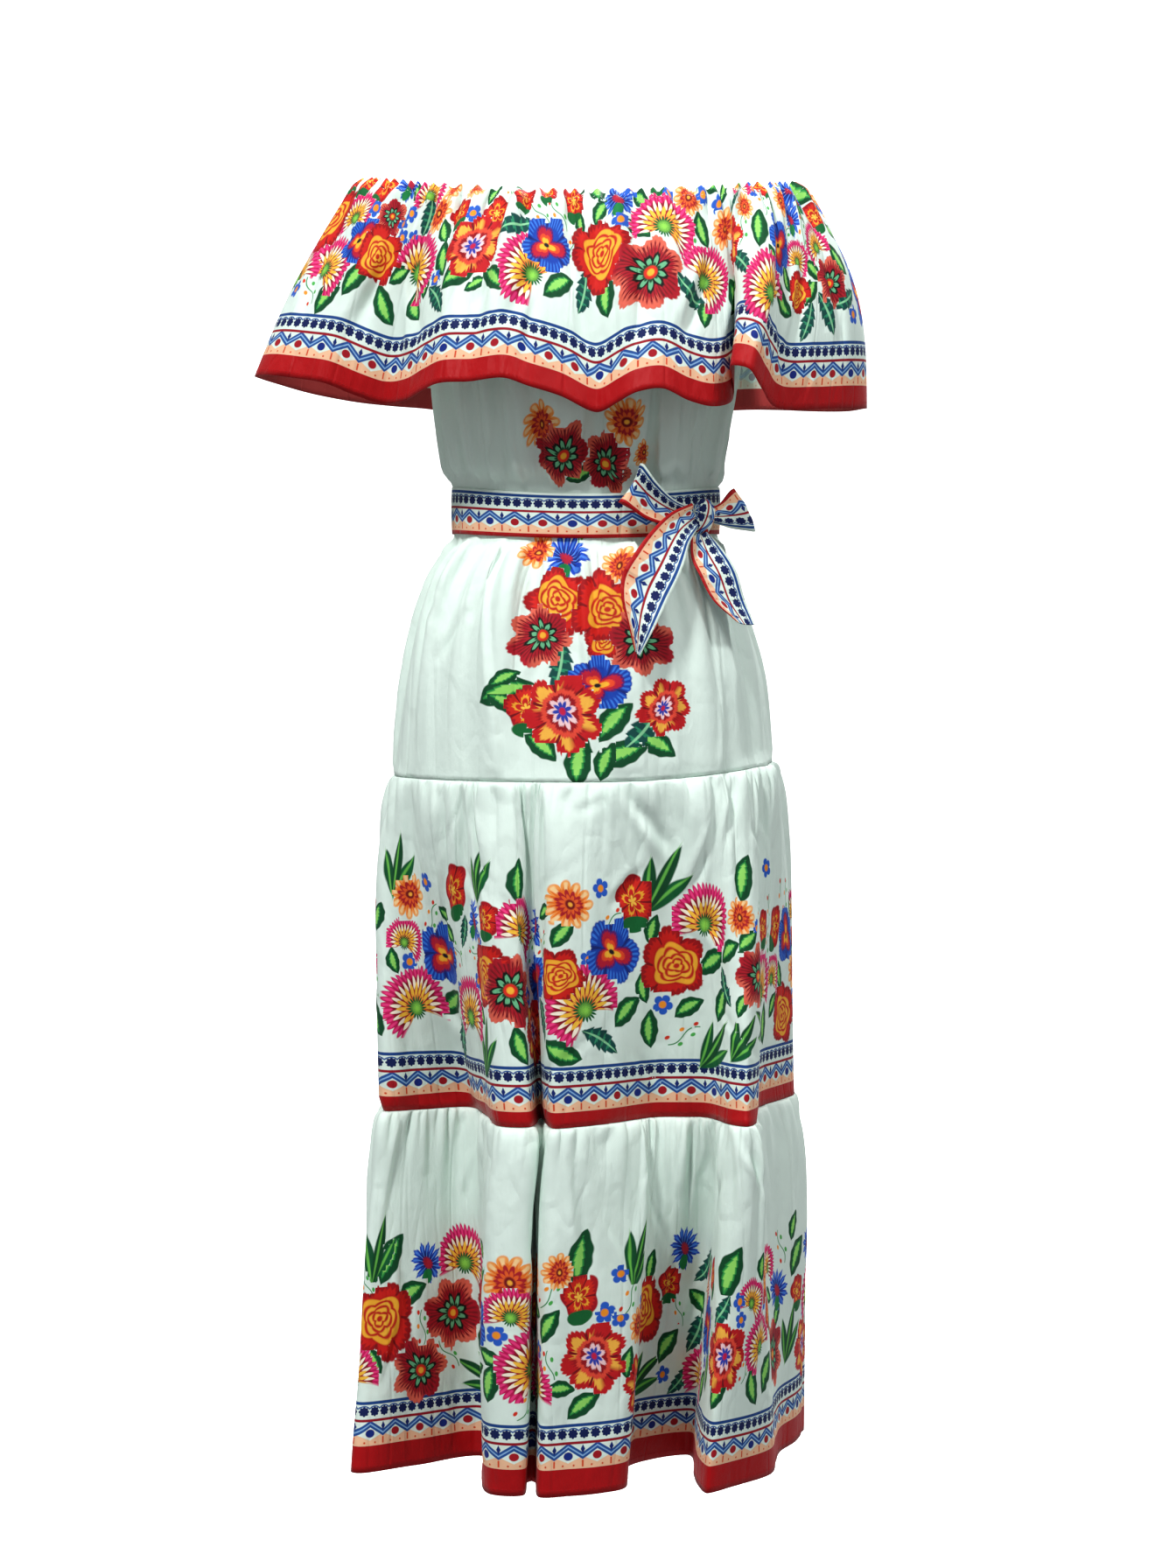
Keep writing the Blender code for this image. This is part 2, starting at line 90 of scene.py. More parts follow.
BodyRing = namedtuple("BodyRing", "level front_drop back_drop right_rise "
                                  "left right front back reach blouse skirt")
BODY_RINGS = rows(
    BodyRing,
    (11, 21, 8, -4, 200, 190, 98, 92, 50, 0, 0),          # elastic neckline
    (-9, 19, 8, -3, 188, 180, 101, 95, 49, 0.15, 0),      # below the casing
    (-50, 12, 6, 0, 166, 162, 110, 101, 50, 0.45, 0),     # upper bust
    (-100, 6, 2, 0, 149, 147, 118, 105, 56, 0.7, 0),      # bust
    (-132, 2, 0, 0, 141, 140, 118, 104, 70, 0.85, 0),     # armhole curve
    (-152, 0, 0, 0, 137, 137, 117, 103, 89.9, 0.95, 0),   # underarm
    (-200, 0, 0, 0, 129, 127, 111, 100, 89.9, 1, 0),      # ribs
    (-240, 5, 0, 0, 122, 120, 105, 97, 89.9, 1, 0),       # bloused over the belt
    (-258, 9, 0, 0, 119, 119, 97, 91, 89.9, 0, 0),        # top of the belt
    (-308, 6, 0, 0, 119, 119, 97, 91, 89.9, 0, 0),        # foot of the belt
    (-322, 4, 0, 0, 125, 122, 106, 98, 89.9, 0, 0.9),     # flare below the belt
    (-346, 1, 0, 0, 140, 132, 116, 108, 89.9, 0, 1),      # high hip
    (-380, 0, 0, 0, 153, 145, 125, 118, 89.9, 0, 0.9),    # hip
    (-442, 0, 0, 4, 166, 162, 135, 129, 89.9, 0, 0.6),    # thigh
    (-522, 0, 0, 12, 174, 170, 140, 134, 89.9, 0, 0.35),  # first tier seam
)
NECK_RING = 0
BELT_RING = 8
TIER_RING = len(BODY_RINGS) - 1

Fold = namedtuple("Fold", "angle half_width blouse skirt")
BODY_FOLDS = rows(
    Fold,
    (-72, 10, 5, 7), (-55, 9, 7, 9), (-42, 8, 4, 6), (-27, 9, 8, 13), (-10, 9, 7, 5),
    (5, 6, -7, -6), (17, 8, 8, 7), (29, 7, -3, 4), (40, 9, 9, 10), (55, 7, 4, 6), (69, 8, 8, 11),
    (104, 9, 6, 8), (122, 9, 8, 10), (139, 8, 5, 7), (156, 9, 9, 12), (171, 7, 4, 5),
    (187, 8, 8, 9), (204, 9, 6, 11), (221, 8, 9, 7), (238, 9, 5, 10), (255, 8, 7, 6),
)

RuffleFold = namedtuple("RuffleFold", "angle x out level puff")
RUFFLE_FOLDS = rows(
    RuffleFold,
    (-84, -298, 14, -162, 12), (-74, -284, 36, -163, 12), (-64, -258, 54, -167, 12),
    (-56, -232, 66, -172, 12), (-48, -206, 62, -182, 9), (-42, -181, 62, -190, 7),
    (-37, -160, 84, -190, 10), (-32, -143, 111, -183, 14), (-27, -127, 130, -177, 14),
    (-20, -100, 144, -176, 14), (-14, -70, 158, -174, 15), (-9, -48, 156, -181, 15),
    (-4, -22, 148, -189, 14), (2, 10, 140, -203, 14), (8, 32, 148, -194, 14),
    (13, 46, 156, -186, 15), (19, 67, 158, -183, 14), (26, 91, 145, -193, 12),
    (32, 109, 130, -197, 10), (37, 124, 110, -193, 9), (41, 130, 92, -184, 8),
    (44, 127, 116, -171, 12), (47, 125, 138, -162, 18), (51, 142, 150, -166, 20),
    (56, 154, 130, -182, 20), (61, 166, 106, -196, 20), (68, 198, 76, -196, 24),
    (76, 232, 46, -193, 26), (85, 253, 14, -191, 25), (95, 254, -16, -190, 25),
    (105, 242, -50, -190, 22), (115, 212, -82, -188, 18), (124, 184, -96, -186, 13),
    (132, 158, -124, -184, 14), (141, 124, -144, -184, 15), (150, 92, -138, -186, 10),
    (158, 64, -150, -185, 12), (167, 34, -162, -184, 14), (176, 5, -150, -186, 10),
    (185, -24, -153, -186, 12), (194, -58, -162, -184, 14), (203, -92, -146, -186, 10),
    (212, -122, -148, -185, 12), (221, -152, -138, -182, 13), (230, -182, -112, -181, 10),
    (239, -214, -102, -178, 12), (250, -254, -78, -172, 14), (257, -284, -46, -165, 13),
    (264, -297, -18, -162, 12),
)

TierFold = namedtuple("TierFold", "angle seam_x seam_out hem_x hem_out")
TIER_FOLDS = rows(
    TierFold,
    (-84, -182, 30, -195, 40), (-74, -179, 58, -206, 80), (-61, -146, 48, -152, 58),
    (-47, -106, 34, -94, 28), (-39, -88, 84, -86, 88), (-31, -74, 144, -81, 150),
    (-21, -49, 149, -55, 156), (-16, -39, 100, -48, 112), (-11, -27, 156, -40, 162),
    (-3, -6, 148, -14, 156), (6, 20, 130, 12, 147), (14, 45, 106, 33, 132), (21, 62, 93, 38, 66),
    (28, 84, 91, 62, 36), (35, 106, 94, 94, 18), (40, 117, 112, 99, 90), (45, 126, 134, 106, 150),
    (51, 141, 146, 130, 132), (57, 150, 126, 164, 88), (63, 149, 70, 170, 44),
    (70, 160, 28, 178, 8), (78, 182, -14, 197, -28), (86, 194, -42, 206, -56),
    (94, 193, -68, 204, -84), (103, 180, -98, 192, -116), (113, 150, -98, 154, -100),
    (121, 130, -98, 130, -94), (130, 117, -136, 120, -150), (139, 92, -149, 93, -172),
    (147, 68, -140, 66, -160), (153, 56, -110, 54, -100), (159, 45, -138, 44, -150),
    (168, 22, -154, 22, -176), (178, -6, -154, -8, -180), (186, -29, -140, -33, -158),
    (192, -40, -108, -44, -96), (198, -51, -138, -55, -148), (207, -73, -149, -77, -172),
    (216, -98, -138, -104, -156), (223, -116, -106, -122, -100), (231, -135, -98, -143, -104),
    (241, -160, -94, -176, -112), (252, -175, -66, -193, -74), (264, -181, -30, -195, -34),
)

BELT_TOP = -0.262
BELT_FOOT = -0.304
BELT_TOP_DIP = 0.009
BELT_FOOT_DIP = 0.006
KNOT_ANGLE = 53
KNOT_HEIGHT = -0.2905
KNOT_SIZE = (0.022, 0.018, 0.032)
KNOT_TILT = 22

Ribbon = namedtuple("Ribbon", "x1 out1 level1 x2 out2 level2")
LOOP_LEFT = rows(
    Ribbon,
    (91, 82.5, -282, 93, 80.5, -297), (76, 101, -275, 77, 97, -299),
    (62, 115, -261, 54, 110, -294), (51, 122, -247, 33, 117, -280), (47, 119, -245, 29, 113, -279),
    (48, 114, -247, 31, 107, -280), (62, 107, -261, 55, 100, -292), (76, 94, -275, 77, 88, -297),
    (92, 76.7, -282, 94.3, 73.4, -297),
)
LOOP_RIGHT = rows(
    Ribbon,
    (113.4, 61, -282, 114.6, 60, -296), (122, 56, -276, 127, 53, -299),
    (130, 51, -266, 150, 40, -302), (132, 46, -265, 153, 35, -302), (130, 40, -266, 150, 28, -302),
    (122, 43, -276, 127, 42, -299), (116, 51, -283, 117, 50, -295),
)
TAIL_LEFT = rows(
    Ribbon,
    (93.8, 84.2, -279, 98.8, 79.2, -300), (75, 107, -288, 93, 98, -311),
    (58, 124, -304, 89, 115, -324), (44, 133, -322, 82, 127, -343), (32, 140, -342, 72, 137, -363),
    (31, 144, -360, 62, 145, -384), (37, 148, -384, 53, 149, -401), (43, 150, -407, 47, 150, -412),
)
TAIL_RIGHT = rows(
    Ribbon,
    (93, 81, -307, 108.6, 67, -304), (93, 98, -328, 121, 76, -319),
    (101, 107, -345, 134, 80, -341), (115, 111, -366, 143, 82, -368),
    (131, 106, -382, 149, 88, -386),
)
LOOP_BOW = 0.003    # how far a ribbon's middle bows out

# Printed bands and the flowers' band, up from the hem, and stitch rows in from the edge
RUFFLE_RED = 0.020
UPPER_RED = 0.0135
LOWER_RED = 0.024
BELT_RED = 0.004
BORDER_WIDTH = 0.046
BODY_OFFSET = -0.06
RUFFLE_FLOWERS_FOOT = 0.046
TIER_FLOWERS = (0.042, 0.178)
CASING_STITCHES = 0.0105
HEM_STITCHES = 0.004


# Shapes of the cloth

def sine(degrees):
    return np.sin(np.radians(degrees))


def cosine(degrees):
    return np.cos(np.radians(degrees))


def blend(low, high, share):
    return low + (high - low) * share


def unit(vectors):
    return vectors / np.maximum(np.linalg.norm(vectors, axis=-1, keepdims=True), 1e-12)


def way_along(points):
    """Distances along a line of points from its first one."""
    steps = np.linalg.norm(np.diff(points, axis=0), axis=-1)
    return np.concatenate((np.zeros_like(steps[:1]), np.cumsum(steps, axis=0)))


def steady_slopes(values):
    """Slopes at evenly spaced values that let a cubic pass through them without overshoot."""
    steps = np.diff(values)
    before, after = steps[:-1], steps[1:]
    together = before * after > 0
    total = np.where(together, before + after, 1.0)
    inner = np.where(together, 2 * before * after / total, 0.0)
    return np.concatenate((steps[:1], inner, steps[-1:]))


def along_table(values, places):
    """Smooth values at places in a column of a table, where each row counts as one."""
    values = np.asarray(values, float)
    slopes = steady_slopes(values)
    row = np.clip(places.astype(int), 0, len(values) - 2)
    t = places - row
    return ((1 + 2 * t) * (1 - t) ** 2 * values[row] + t * t * (3 - 2 * t) * values[row + 1]
            + t * (1 - t) ** 2 * slopes[row] + t * t * (t - 1) * slopes[row + 1])


def body_ring(places):
    """Rings of the body at places in their table, with every column read smoothly."""
    columns = {name: np.array([getattr(ring, name) for ring in BODY_RINGS], float)
               for name in BodyRing._fields}
    return BodyRing(*[along_table(columns[name], places) for name in BodyRing._fields])


def ring_reach(ring, angle):
    """Sine, cosine, half width and half depth of body rings at ring angles."""
    s, c = sine(angle), cosine(angle)
    return s, c, np.where(s > 0, ring.right, ring.left), np.where(c > 0, ring.front, ring.back)


def ring_point(ring, angle):
    """Points on body rings before any fold."""
    s, c, side, depth = ring_reach(ring, angle)
    drop = np.where(c > 0, ring.front_drop, ring.back_drop)
    rise = np.where(s > 0, ring.right_rise, 0.0)
    return np.stack((side * s, -depth * c, ring.level - drop * c * c + rise * s * s), -1) * MM


def ring_outward(ring, angle):
    """Level directions that point straight out of body rings."""
    s, c, side, depth = ring_reach(ring, angle)
    return unit(np.stack((s / side, -c / depth, np.zeros_like(s)), -1))


def body_point(places, angle, inset=0.0):
    """Points on the body at places in its table and ring angles, folds included."""
    ring = body_ring(places)
    height = np.zeros(np.broadcast(places, angle).shape)
    for fold in BODY_FOLDS:
        offset = ((angle - fold.angle + 180) % 360 - 180) / fold.half_width
        hump = np.where(np.abs(offset) < 1, 0.5 + 0.5 * np.cos(np.pi * offset), 0.0)
        height = height + (fold.blouse * ring.blouse + fold.skirt * ring.skirt) * hump
    out = ring_outward(ring, angle)
    return ring_point(ring, angle) + out * (height * MM - inset)[..., None]


def spline(before, start, end, after, share):
    """Points on centripetal splines, a share of the way from start to end."""
    def gap(one, two):
        return np.maximum(np.linalg.norm(two - one, axis=-1, keepdims=True), 1e-9) ** 0.5
    share = share[:, None]
    knot_1 = gap(before, start)
    knot_2 = knot_1 + gap(start, end)
    knot_3 = knot_2 + gap(end, after)
    t = blend(knot_1, knot_2, share)
    first = blend(before, start, t / knot_1)
    middle = blend(start, end, (t - knot_1) / (knot_2 - knot_1))
    last = blend(end, after, (t - knot_2) / (knot_3 - knot_2))
    low = blend(first, middle, t / knot_2)
    high = blend(middle, last, (t - knot_1) / (knot_3 - knot_1))
    return blend(low, high, (t - knot_1) / (knot_2 - knot_1))


def round_loop(points, places):
    """Points at places on a closed spline, where each given point counts as one."""
    row = np.floor(places).astype(int)
    near = [points[(row + step) % len(points)] for step in (-1, 0, 1, 2)]
    return spline(*near, places - row)


def round_values(values, places, turn=0.0):
    """Values at places round a closed table. A turn of 360 is for a column of angles."""
    values = np.asarray(values, float)
    row = np.floor(places).astype(int)
    start = values[row % len(values)]
    rise = values[(row + 1) % len(values)] - start
    if turn:
        rise = rise % turn
    return start + rise * (places - row)


RUFFLE_HEM = np.array([(f.x, -f.out, f.level) for f in RUFFLE_FOLDS]) * MM
TIER_SEAM = np.array([(f.seam_x * MM, -f.seam_out * MM, LOWER_TIER_SEAM_Z) for f in TIER_FOLDS])
TIER_HEM = np.array([(f.hem_x * MM, -f.hem_out * MM, HEM_Z) for f in TIER_FOLDS])


def side_seams(folds):
    """Places of the side seams in a fold table: left, right, and left once more."""
    return -0.5, sum(fold.angle < 90 for fold in folds) - 0.5, len(folds) - 0.5


def even_places(points, first, last, step):
    """Places from first to last on a closed spline, an even step apart along it."""
    fine = np.linspace(first, last, 60 * int(last - first))
    length = way_along(round_loop(points, fine))
    across = np.linspace(0, length[-1], int(length[-1] / step) + 1)
    return np.interp(across, length, fine), across


def outward_normals(points):
    """Unit normals of a grid of points whose rows run down and columns to the right."""
    return unit(np.cross(np.gradient(points, axis=0), np.gradient(points, axis=1)))


Panel = namedtuple("Panel", "points across up down angle")


def measured(points, across, angle):
    """Panel whose up and down places are real distances from its foot and its top."""
    down = way_along(points)
    return Panel(points, np.broadcast_to(across, down.shape) + 0.0, down[-1] - down, down,
                 np.broadcast_to(angle, down.shape) + 0.0)


def hung(top, foot, out, places, step, longer, growth, puff, swell):
    """Panel that hangs from top to foot and swells outwards on its way. Its rows lie closer near
    the top, as growth says."""
    across, angle = places
    length = float(np.linalg.norm(foot - top, axis=1).mean()) * longer
    share = (np.linspace(0, 1, int(length / step) + 1) ** growth)[:, None, None]
    rounding = puff * np.sin(np.pi * share ** swell)
    return measured(blend(top[None], foot[None], share) + out[None] * rounding, across, angle)


def ruffle_panel(first, last):
    """Grid of the ruffle between two places of its fold table."""
    places, across = even_places(RUFFLE_HEM, first, last, RUFFLE_STEP[0])
    angle = round_values([f.angle for f in RUFFLE_FOLDS], places, 360)
    puff = round_values([f.puff for f in RUFFLE_FOLDS], places) * MM
    neck = BODY_RINGS[NECK_RING]
    top, out = ring_point(neck, angle), ring_outward(neck, angle)
    return hung(top, round_loop(RUFFLE_HEM, places), out, (across, angle), RUFFLE_STEP[1],
                longer=1.03, growth=1.2, puff=puff[None, :, None], swell=0.8)


def tier_panel(lower, first, last):
    """Grid of one panel of a tier between two places of the fold table."""
    foot_loop = TIER_HEM if lower else TIER_SEAM
    places, across = even_places(foot_loop, first, last, CLOTH_STEP[0])
    angle = round_values([f.angle for f in TIER_FOLDS], places, 360)
    out = ring_outward(BODY_RINGS[TIER_RING], angle)
    if lower:
        top = round_loop(TIER_SEAM, places)
    else:
        top = body_point(np.full(len(angle), float(TIER_RING)), angle)
    top = top - np.array([0, 0, SEAM_GAP])
    return hung(top, round_loop(foot_loop, places), out, (across, angle), CLOTH_STEP[1],
                longer=1.02, growth=1.25, puff=TIER_PUFF, swell=0.6)


def body_panel(middle):
    """Grid of the body's front (middle 0) or back (middle 180), in one cut."""
    places = np.linspace(0, TIER_RING, 400)
    length = way_along(body_point(places, np.full(400, float(middle))))
    down = np.linspace(0, length[-1], int(length[-1] / BODY_STEP[1]) + 1)
    places = np.interp(down, length, places)[:, None]
    ring = BODY_RINGS[TIER_RING]
    half = np.pi * (ring.left + ring.front) / 4 * MM
    spread = np.linspace(-1, 1, int(2 * half / BODY_STEP[0]) + 1)[None]
    angle = middle + body_ring(places).reach * spread
    tuck = (CLOTH_WALL + SEAM_GAP) * np.maximum(0.0, 1.0 - places)
    points = body_point(places, angle, tuck * np.ones_like(angle))
    return measured(points, (angle - middle) / 90 * half + half, angle)


# Small relief of the cloth: gathers, creases and an uneven surface

# Spacing, height and length of ridges, how soon they rise from the seam, all in metres, how
# steep one side is, and how crisp: 1 makes flat-sided folds and 2 makes round ones
Gathers = namedtuple("Gathers", "spacing size length rise steep crisp")
RUFFLE_SMALL = Gathers(0.0170, 0.0090, 0.070, 0.004, 0.75, 2.0)
RUFFLE_LARGE = Gathers(0.044, 0.0130, 0.16, 0.012, 0.4, 1.5)
TIER_SMALL = Gathers(0.0150, 0.0070, 0.046, 0.003, 0.8, 2.0)
TIER_LARGE = Gathers(0.031, 0.0090, 0.15, 0.018, 0.4, 1.4)
TIER_LONG = Gathers(0.075, 0.0100, 0.36, 0.05, 0.35, 1.3)
OVER_BELT = Gathers(0.026, 0.0085, 0.15, 0.006, 0.2, 1.1)
UNDER_BELT = Gathers(0.030, 0.0110, 0.27, 0.006, 0.2, 1.1)
GATHER_PULL = 0.0022      # how far a ridge's bend slides the cloth into the valleys

# The elastic casing and its puckers, and what keeps the body's cloth smooth, in metres
CASING = 0.012
PUCKER_OUT = 0.0028
PUCKER_UP = 0.0024
PUCKER_DEPTH = 0.013
BELT_HOLD = 0.022         # half the height that the belt holds smooth
SMOOTH_EDGE = 0.012       # from a smooth place to full relief

# Height of the soft unevenness, and how many faint packing creases there are
RUFFLE_RUMPLE, RUFFLE_PACKING = 0.0022, 10
TIER_RUMPLE, TIER_PACKING = 0.0030, 26
BODY_RUMPLE, BODY_PACKING = 0.0026, 16


def gathers(across, deep, sizes, seed):
    """Ridges that grow out of a gathered seam, uneven in place, height, width and length, each
    with one steep side."""
    spacing, size, length, rise, steep, crisp = sizes
    random = np.random.default_rng(seed)
    relief = np.zeros_like(across)
    low, high = across.min(), across.max()
    count = int((high - low) / spacing)
    middles = across.mean(axis=0)
    for ridge in range(count):
        middle = low + (ridge + 0.5 + random.uniform(-0.3, 0.3)) * (high - low) / count
        height = size * random.uniform(0.4, 1.25)
        reach = length * random.uniform(0.35, 1.7)
        lean = random.uniform(-0.14, 0.14)
        width = spacing * random.uniform(0.48, 0.72)
        side = random.choice((-1, 1))
        near = np.abs(middles - middle) < 6 * width + 0.2 * reach
        if not near.any():
            continue
        there = np.maximum(deep[:, near], 0.0)
        fade = np.clip(1 - there / reach, 0, 1) ** 1.3
        offset = across[:, near] - middle - lean * there
        offset = offset / (width * (1 + 0.9 * there / reach))
        offset = offset / np.where(offset * side > 0, steep, 1.2)
        tube = height * fade * np.clip(1 - np.abs(offset) ** crisp, 0, 1)
        relief[:, near] = np.maximum(relief[:, near], tube)
    relief -= 0.6 * relief.mean(axis=1, keepdims=True)
    return relief * (1 - np.exp(-np.maximum(deep, 0.0) / rise))


def closed_up(panel, relief):
    """The panel with its cloth slid along into the valleys of a relief, which then hide some."""
    step = np.gradient(panel.across, axis=1)
    bend = np.gradient(np.gradient(relief, axis=1) / step, axis=1) / step
    slide = np.cumsum(np.clip(-GATHER_PULL * bend, -0.88, 0.8) * step, axis=1)
    reach = int(0.022 / step[0, 0])
    padded = np.cumsum(np.pad(slide, ((0, 0), (reach, reach)), mode="edge"), axis=1)
    slide -= (padded[:, 2 * reach:] - padded[:, :-2 * reach]) / (2 * reach)
    slide *= edge_fade(panel.across, 0.03)
    ahead = np.gradient(panel.points, axis=1) / step[..., None]
    return panel._replace(points=panel.points + ahead * slide[..., None])


def rumple(across, up, size, seed, shortest=0.05, longest=0.22):
    """Soft unevenness, longer up and down the cloth than across it."""
    random = np.random.default_rng(seed)
    relief = np.zeros_like(across)
    for _ in range(14):
        wave = random.uniform(shortest, longest)
        tilt = random.uniform(-0.9, 0.9)
        phase = random.uniform(0, 2 * np.pi)
        along = across * math.cos(tilt) + up * math.sin(tilt) * 0.6
        relief += np.sin(2 * np.pi * along / wave + phase) * (wave / longest) / 4
    return relief * size


def edge_fade(across, width=0.010):
    """0 at the two side edges of a panel and 1 inside."""
    low = across.min(axis=1, keepdims=True)
    high = across.max(axis=1, keepdims=True)
    return np.clip(np.minimum(across - low, high - across) / width, 0, 1)


Crease = namedtuple("Crease", "across up length turn depth width")


def crease_rows(*values):
    """Creases from places in percent, a length, degrees, and a depth and width, all in mm."""
    return [Crease(across / 100, up / 100, length / 1000, turn, depth / 1000, width / 1000)
            for across, up, length, turn, depth, width in values]


def creases(panel, table):
    """Soft troughs with a ridge beside them, at places in shares of the panel."""
    relief = np.zeros_like(panel.across)
    wide, tall = panel.across.max(), panel.up.max()
    for crease in table:
        du = panel.across - crease.across * wide
        dv = panel.up - crease.up * tall
        c, s = cosine(crease.turn), sine(crease.turn)
        along = (du * c + dv * s) / (crease.length / 2)
        aside = (-du * s + dv * c) / crease.width
        fade = np.clip(1 - along ** 2, 0, 1)
        trough = np.exp(-aside ** 2) - 0.6 * np.exp(-(aside - 1.7) ** 2)
        relief -= 1.5 * crease.depth * fade * trough
    return relief


def small_creases(count, seed, longest=0.11):
    """Faint packing creases, strewn unevenly."""
    random = np.random.default_rng(seed)
    return [Crease(random.uniform(0.06, 0.94), random.uniform(0.1, 0.92),
                   random.uniform(0.03, longest), random.uniform(35, 145),
                   random.uniform(0.0005, 0.0014), random.uniform(0.003, 0.007))
            for _ in range(count)]


def raised(panel, relief, lift=0.0):
    """The panel with its points moved out by a relief, and up by a lift."""
    points = panel.points + outward_normals(panel.points) * relief[..., None]
    points[..., 2] += lift
    return panel._replace(points=points)


def neck_puckers(panel):
    """Tight puckers of the elastic casing, alike on all the cloth that it holds."""
    turn = np.radians(panel.angle)
    wave = 0.5 + 0.5 * np.sin(98 * turn + 2.4 * np.sin(7 * turn) + 1.7 * np.sin(17 * turn + 1))
    return wave * np.exp(-(panel.down / PUCKER_DEPTH) ** 2)


def puckered(panel, relief, share=1.0):
    """The panel raised by a relief and by a share of the casing's puckers."""
    puckers = share * neck_puckers(panel)
    return raised(panel, relief + PUCKER_OUT * puckers, PUCKER_UP * puckers)


def dressed_ruffle(panel, seed, table):
    fade = edge_fade(panel.across)
    casing = np.clip(panel.down / CASING, 0, 1)
    small = gathers(panel.across, panel.down, RUFFLE_SMALL, seed)
    large = gathers(panel.across, panel.down, RUFFLE_LARGE, seed + 1)
    uneven = rumple(panel.across, panel.up, RUFFLE_RUMPLE, seed + 2) * (0.3 + panel.down * 4)
    folds = creases(panel, table + small_creases(RUFFLE_PACKING, seed + 3))
    relief = (small + large + uneven + folds) * fade * casing
    return closed_up(puckered(panel, relief), small * casing)


def dressed_tier(panel, seed, table, hangs_free):
    quiet = edge_fade(panel.across)
    if not hangs_free:
        quiet = quiet * np.clip(panel.up / 0.010, 0, 1)
    small, large, long = (
        gathers(panel.across, panel.down, sizes, seed + extra)
        for sizes, extra in ((TIER_SMALL, 0), (TIER_LARGE, 1), (TIER_LONG, 4)))
    relief = small + large + long
    soft = rumple(panel.across, panel.up, TIER_RUMPLE, seed + 2)
    soft += creases(panel, table + small_creases(TIER_PACKING, seed + 3))
    relief += soft * np.clip(panel.down / 0.03, 0, 1)
    return closed_up(raised(panel, relief * quiet), small * quiet)


def dressed_body(panel, seed, table):
    level = panel.points[:, panel.points.shape[1] // 2, 2]
    belt_row = int(np.argmin(np.abs(level - (BELT_TOP + BELT_FOOT) / 2 + 0.0075)))
    from_belt = panel.up - panel.up[belt_row]
    quiet = edge_fade(panel.across)
    quiet = quiet * np.clip((np.abs(from_belt) - BELT_HOLD) / SMOOTH_EDGE, 0, 1)
    quiet = quiet * np.clip(panel.up / SMOOTH_EDGE, 0, 1)
    quiet = quiet * np.clip((panel.down - 0.10) / 0.06, 0, 1)
    over = gathers(panel.across, from_belt - BELT_HOLD, OVER_BELT, seed + 1)
    under = gathers(panel.across, -from_belt - BELT_HOLD, UNDER_BELT, seed + 2)
    relief = np.where(from_belt > 0, over, under)
    relief += rumple(panel.across, panel.up, BODY_RUMPLE, seed + 3)
    relief += creases(panel, table + small_creases(BODY_PACKING, seed + 4))
    return puckered(panel, relief * quiet, 0.5)


# Meshes

def linked(name, data):
    """New object of the scene."""
    thing = bpy.data.objects.new(name, data)
    bpy.context.scene.collection.objects.link(thing)
    return thing


def shell(name, panel, red, thickness=SHELL, closed=False, centred=False):
    """Closed thin shell on a panel, with its cloth places in a UV map, up from the red band."""
    points = panel.points
    normals = outward_normals(points)
    if closed:
        wide = np.concatenate((points[:, -2:], points, points[:, :2]), axis=1)
        normals = outward_normals(wide)[:, 2:-2]
    lift = thickness / 2 if centred else 0.0
    outer = points + normals * lift
    inner = points + normals * (lift - thickness)
    rows, columns = points.shape[:2]
    count = rows * columns
    index = np.arange(count).reshape(rows, columns)
    after = np.roll(index, -1, axis=1) if closed else index[:, 1:]
    start = index if closed else index[:, :-1]
    quads = np.stack((start[:-1], start[1:], after[1:], after[:-1]), -1).reshape(-1, 4)
    back = quads[:, ::-1] + count
    rims = [(start[0], after[0]), (after[-1], start[-1])]
    if not closed:
        rims += [(index[1:, 0], index[:-1, 0]), (index[:-1, -1], index[1:, -1])]
    rim = np.concatenate([np.stack((one, two, two + count, one + count), -1) for one, two in rims])
    faces = np.concatenate((quads, back, rim))

    mesh = bpy.data.meshes.new(name)
    mesh.vertices.add(2 * count)
    mesh.vertices.foreach_set("co", np.concatenate((outer, inner)).reshape(-1))
    mesh.loops.add(faces.size)
    mesh.loops.foreach_set("vertex_index", faces.reshape(-1).astype(np.int32))
    mesh.polygons.add(len(faces))
    mesh.polygons.foreach_set("loop_start", np.arange(0, faces.size, 4, dtype=np.int32))
    mesh.polygons.foreach_set("loop_total", np.full(len(faces), 4, dtype=np.int32))
    mesh.update(calc_edges=True)
    mesh.shade_smooth()

    across = panel.across.reshape(-1)
    up = panel.up.reshape(-1) - red
    places = np.stack((across, up), -1)[faces % count]
    if closed:
        length = panel.across.max() * columns / (columns - 1)
        step = places[:, :, 0].max(axis=1) - places[:, :, 0].min(axis=1)
        low = (step > length / 2)[:, None] & (places[:, :, 0] < length / 2)
        places[:, :, 0] += low * length
    mesh.uv_layers.new(name="cloth").data.foreach_set("uv", places.reshape(-1))
    sides = np.concatenate((np.zeros(len(quads)), np.ones(len(back)), np.zeros(len(rim))))
    return linked(name, mesh), places, sides.astype(np.int32)


def plain_mesh(name, points, faces):
    mesh = bpy.data.meshes.new(name)
    mesh.from_pydata(points, [], faces)
    mesh.update()
    mesh.shade_smooth()
    return linked(name, mesh)


# Arithmetic that works alike on arrays of numbers and on values inside a shader

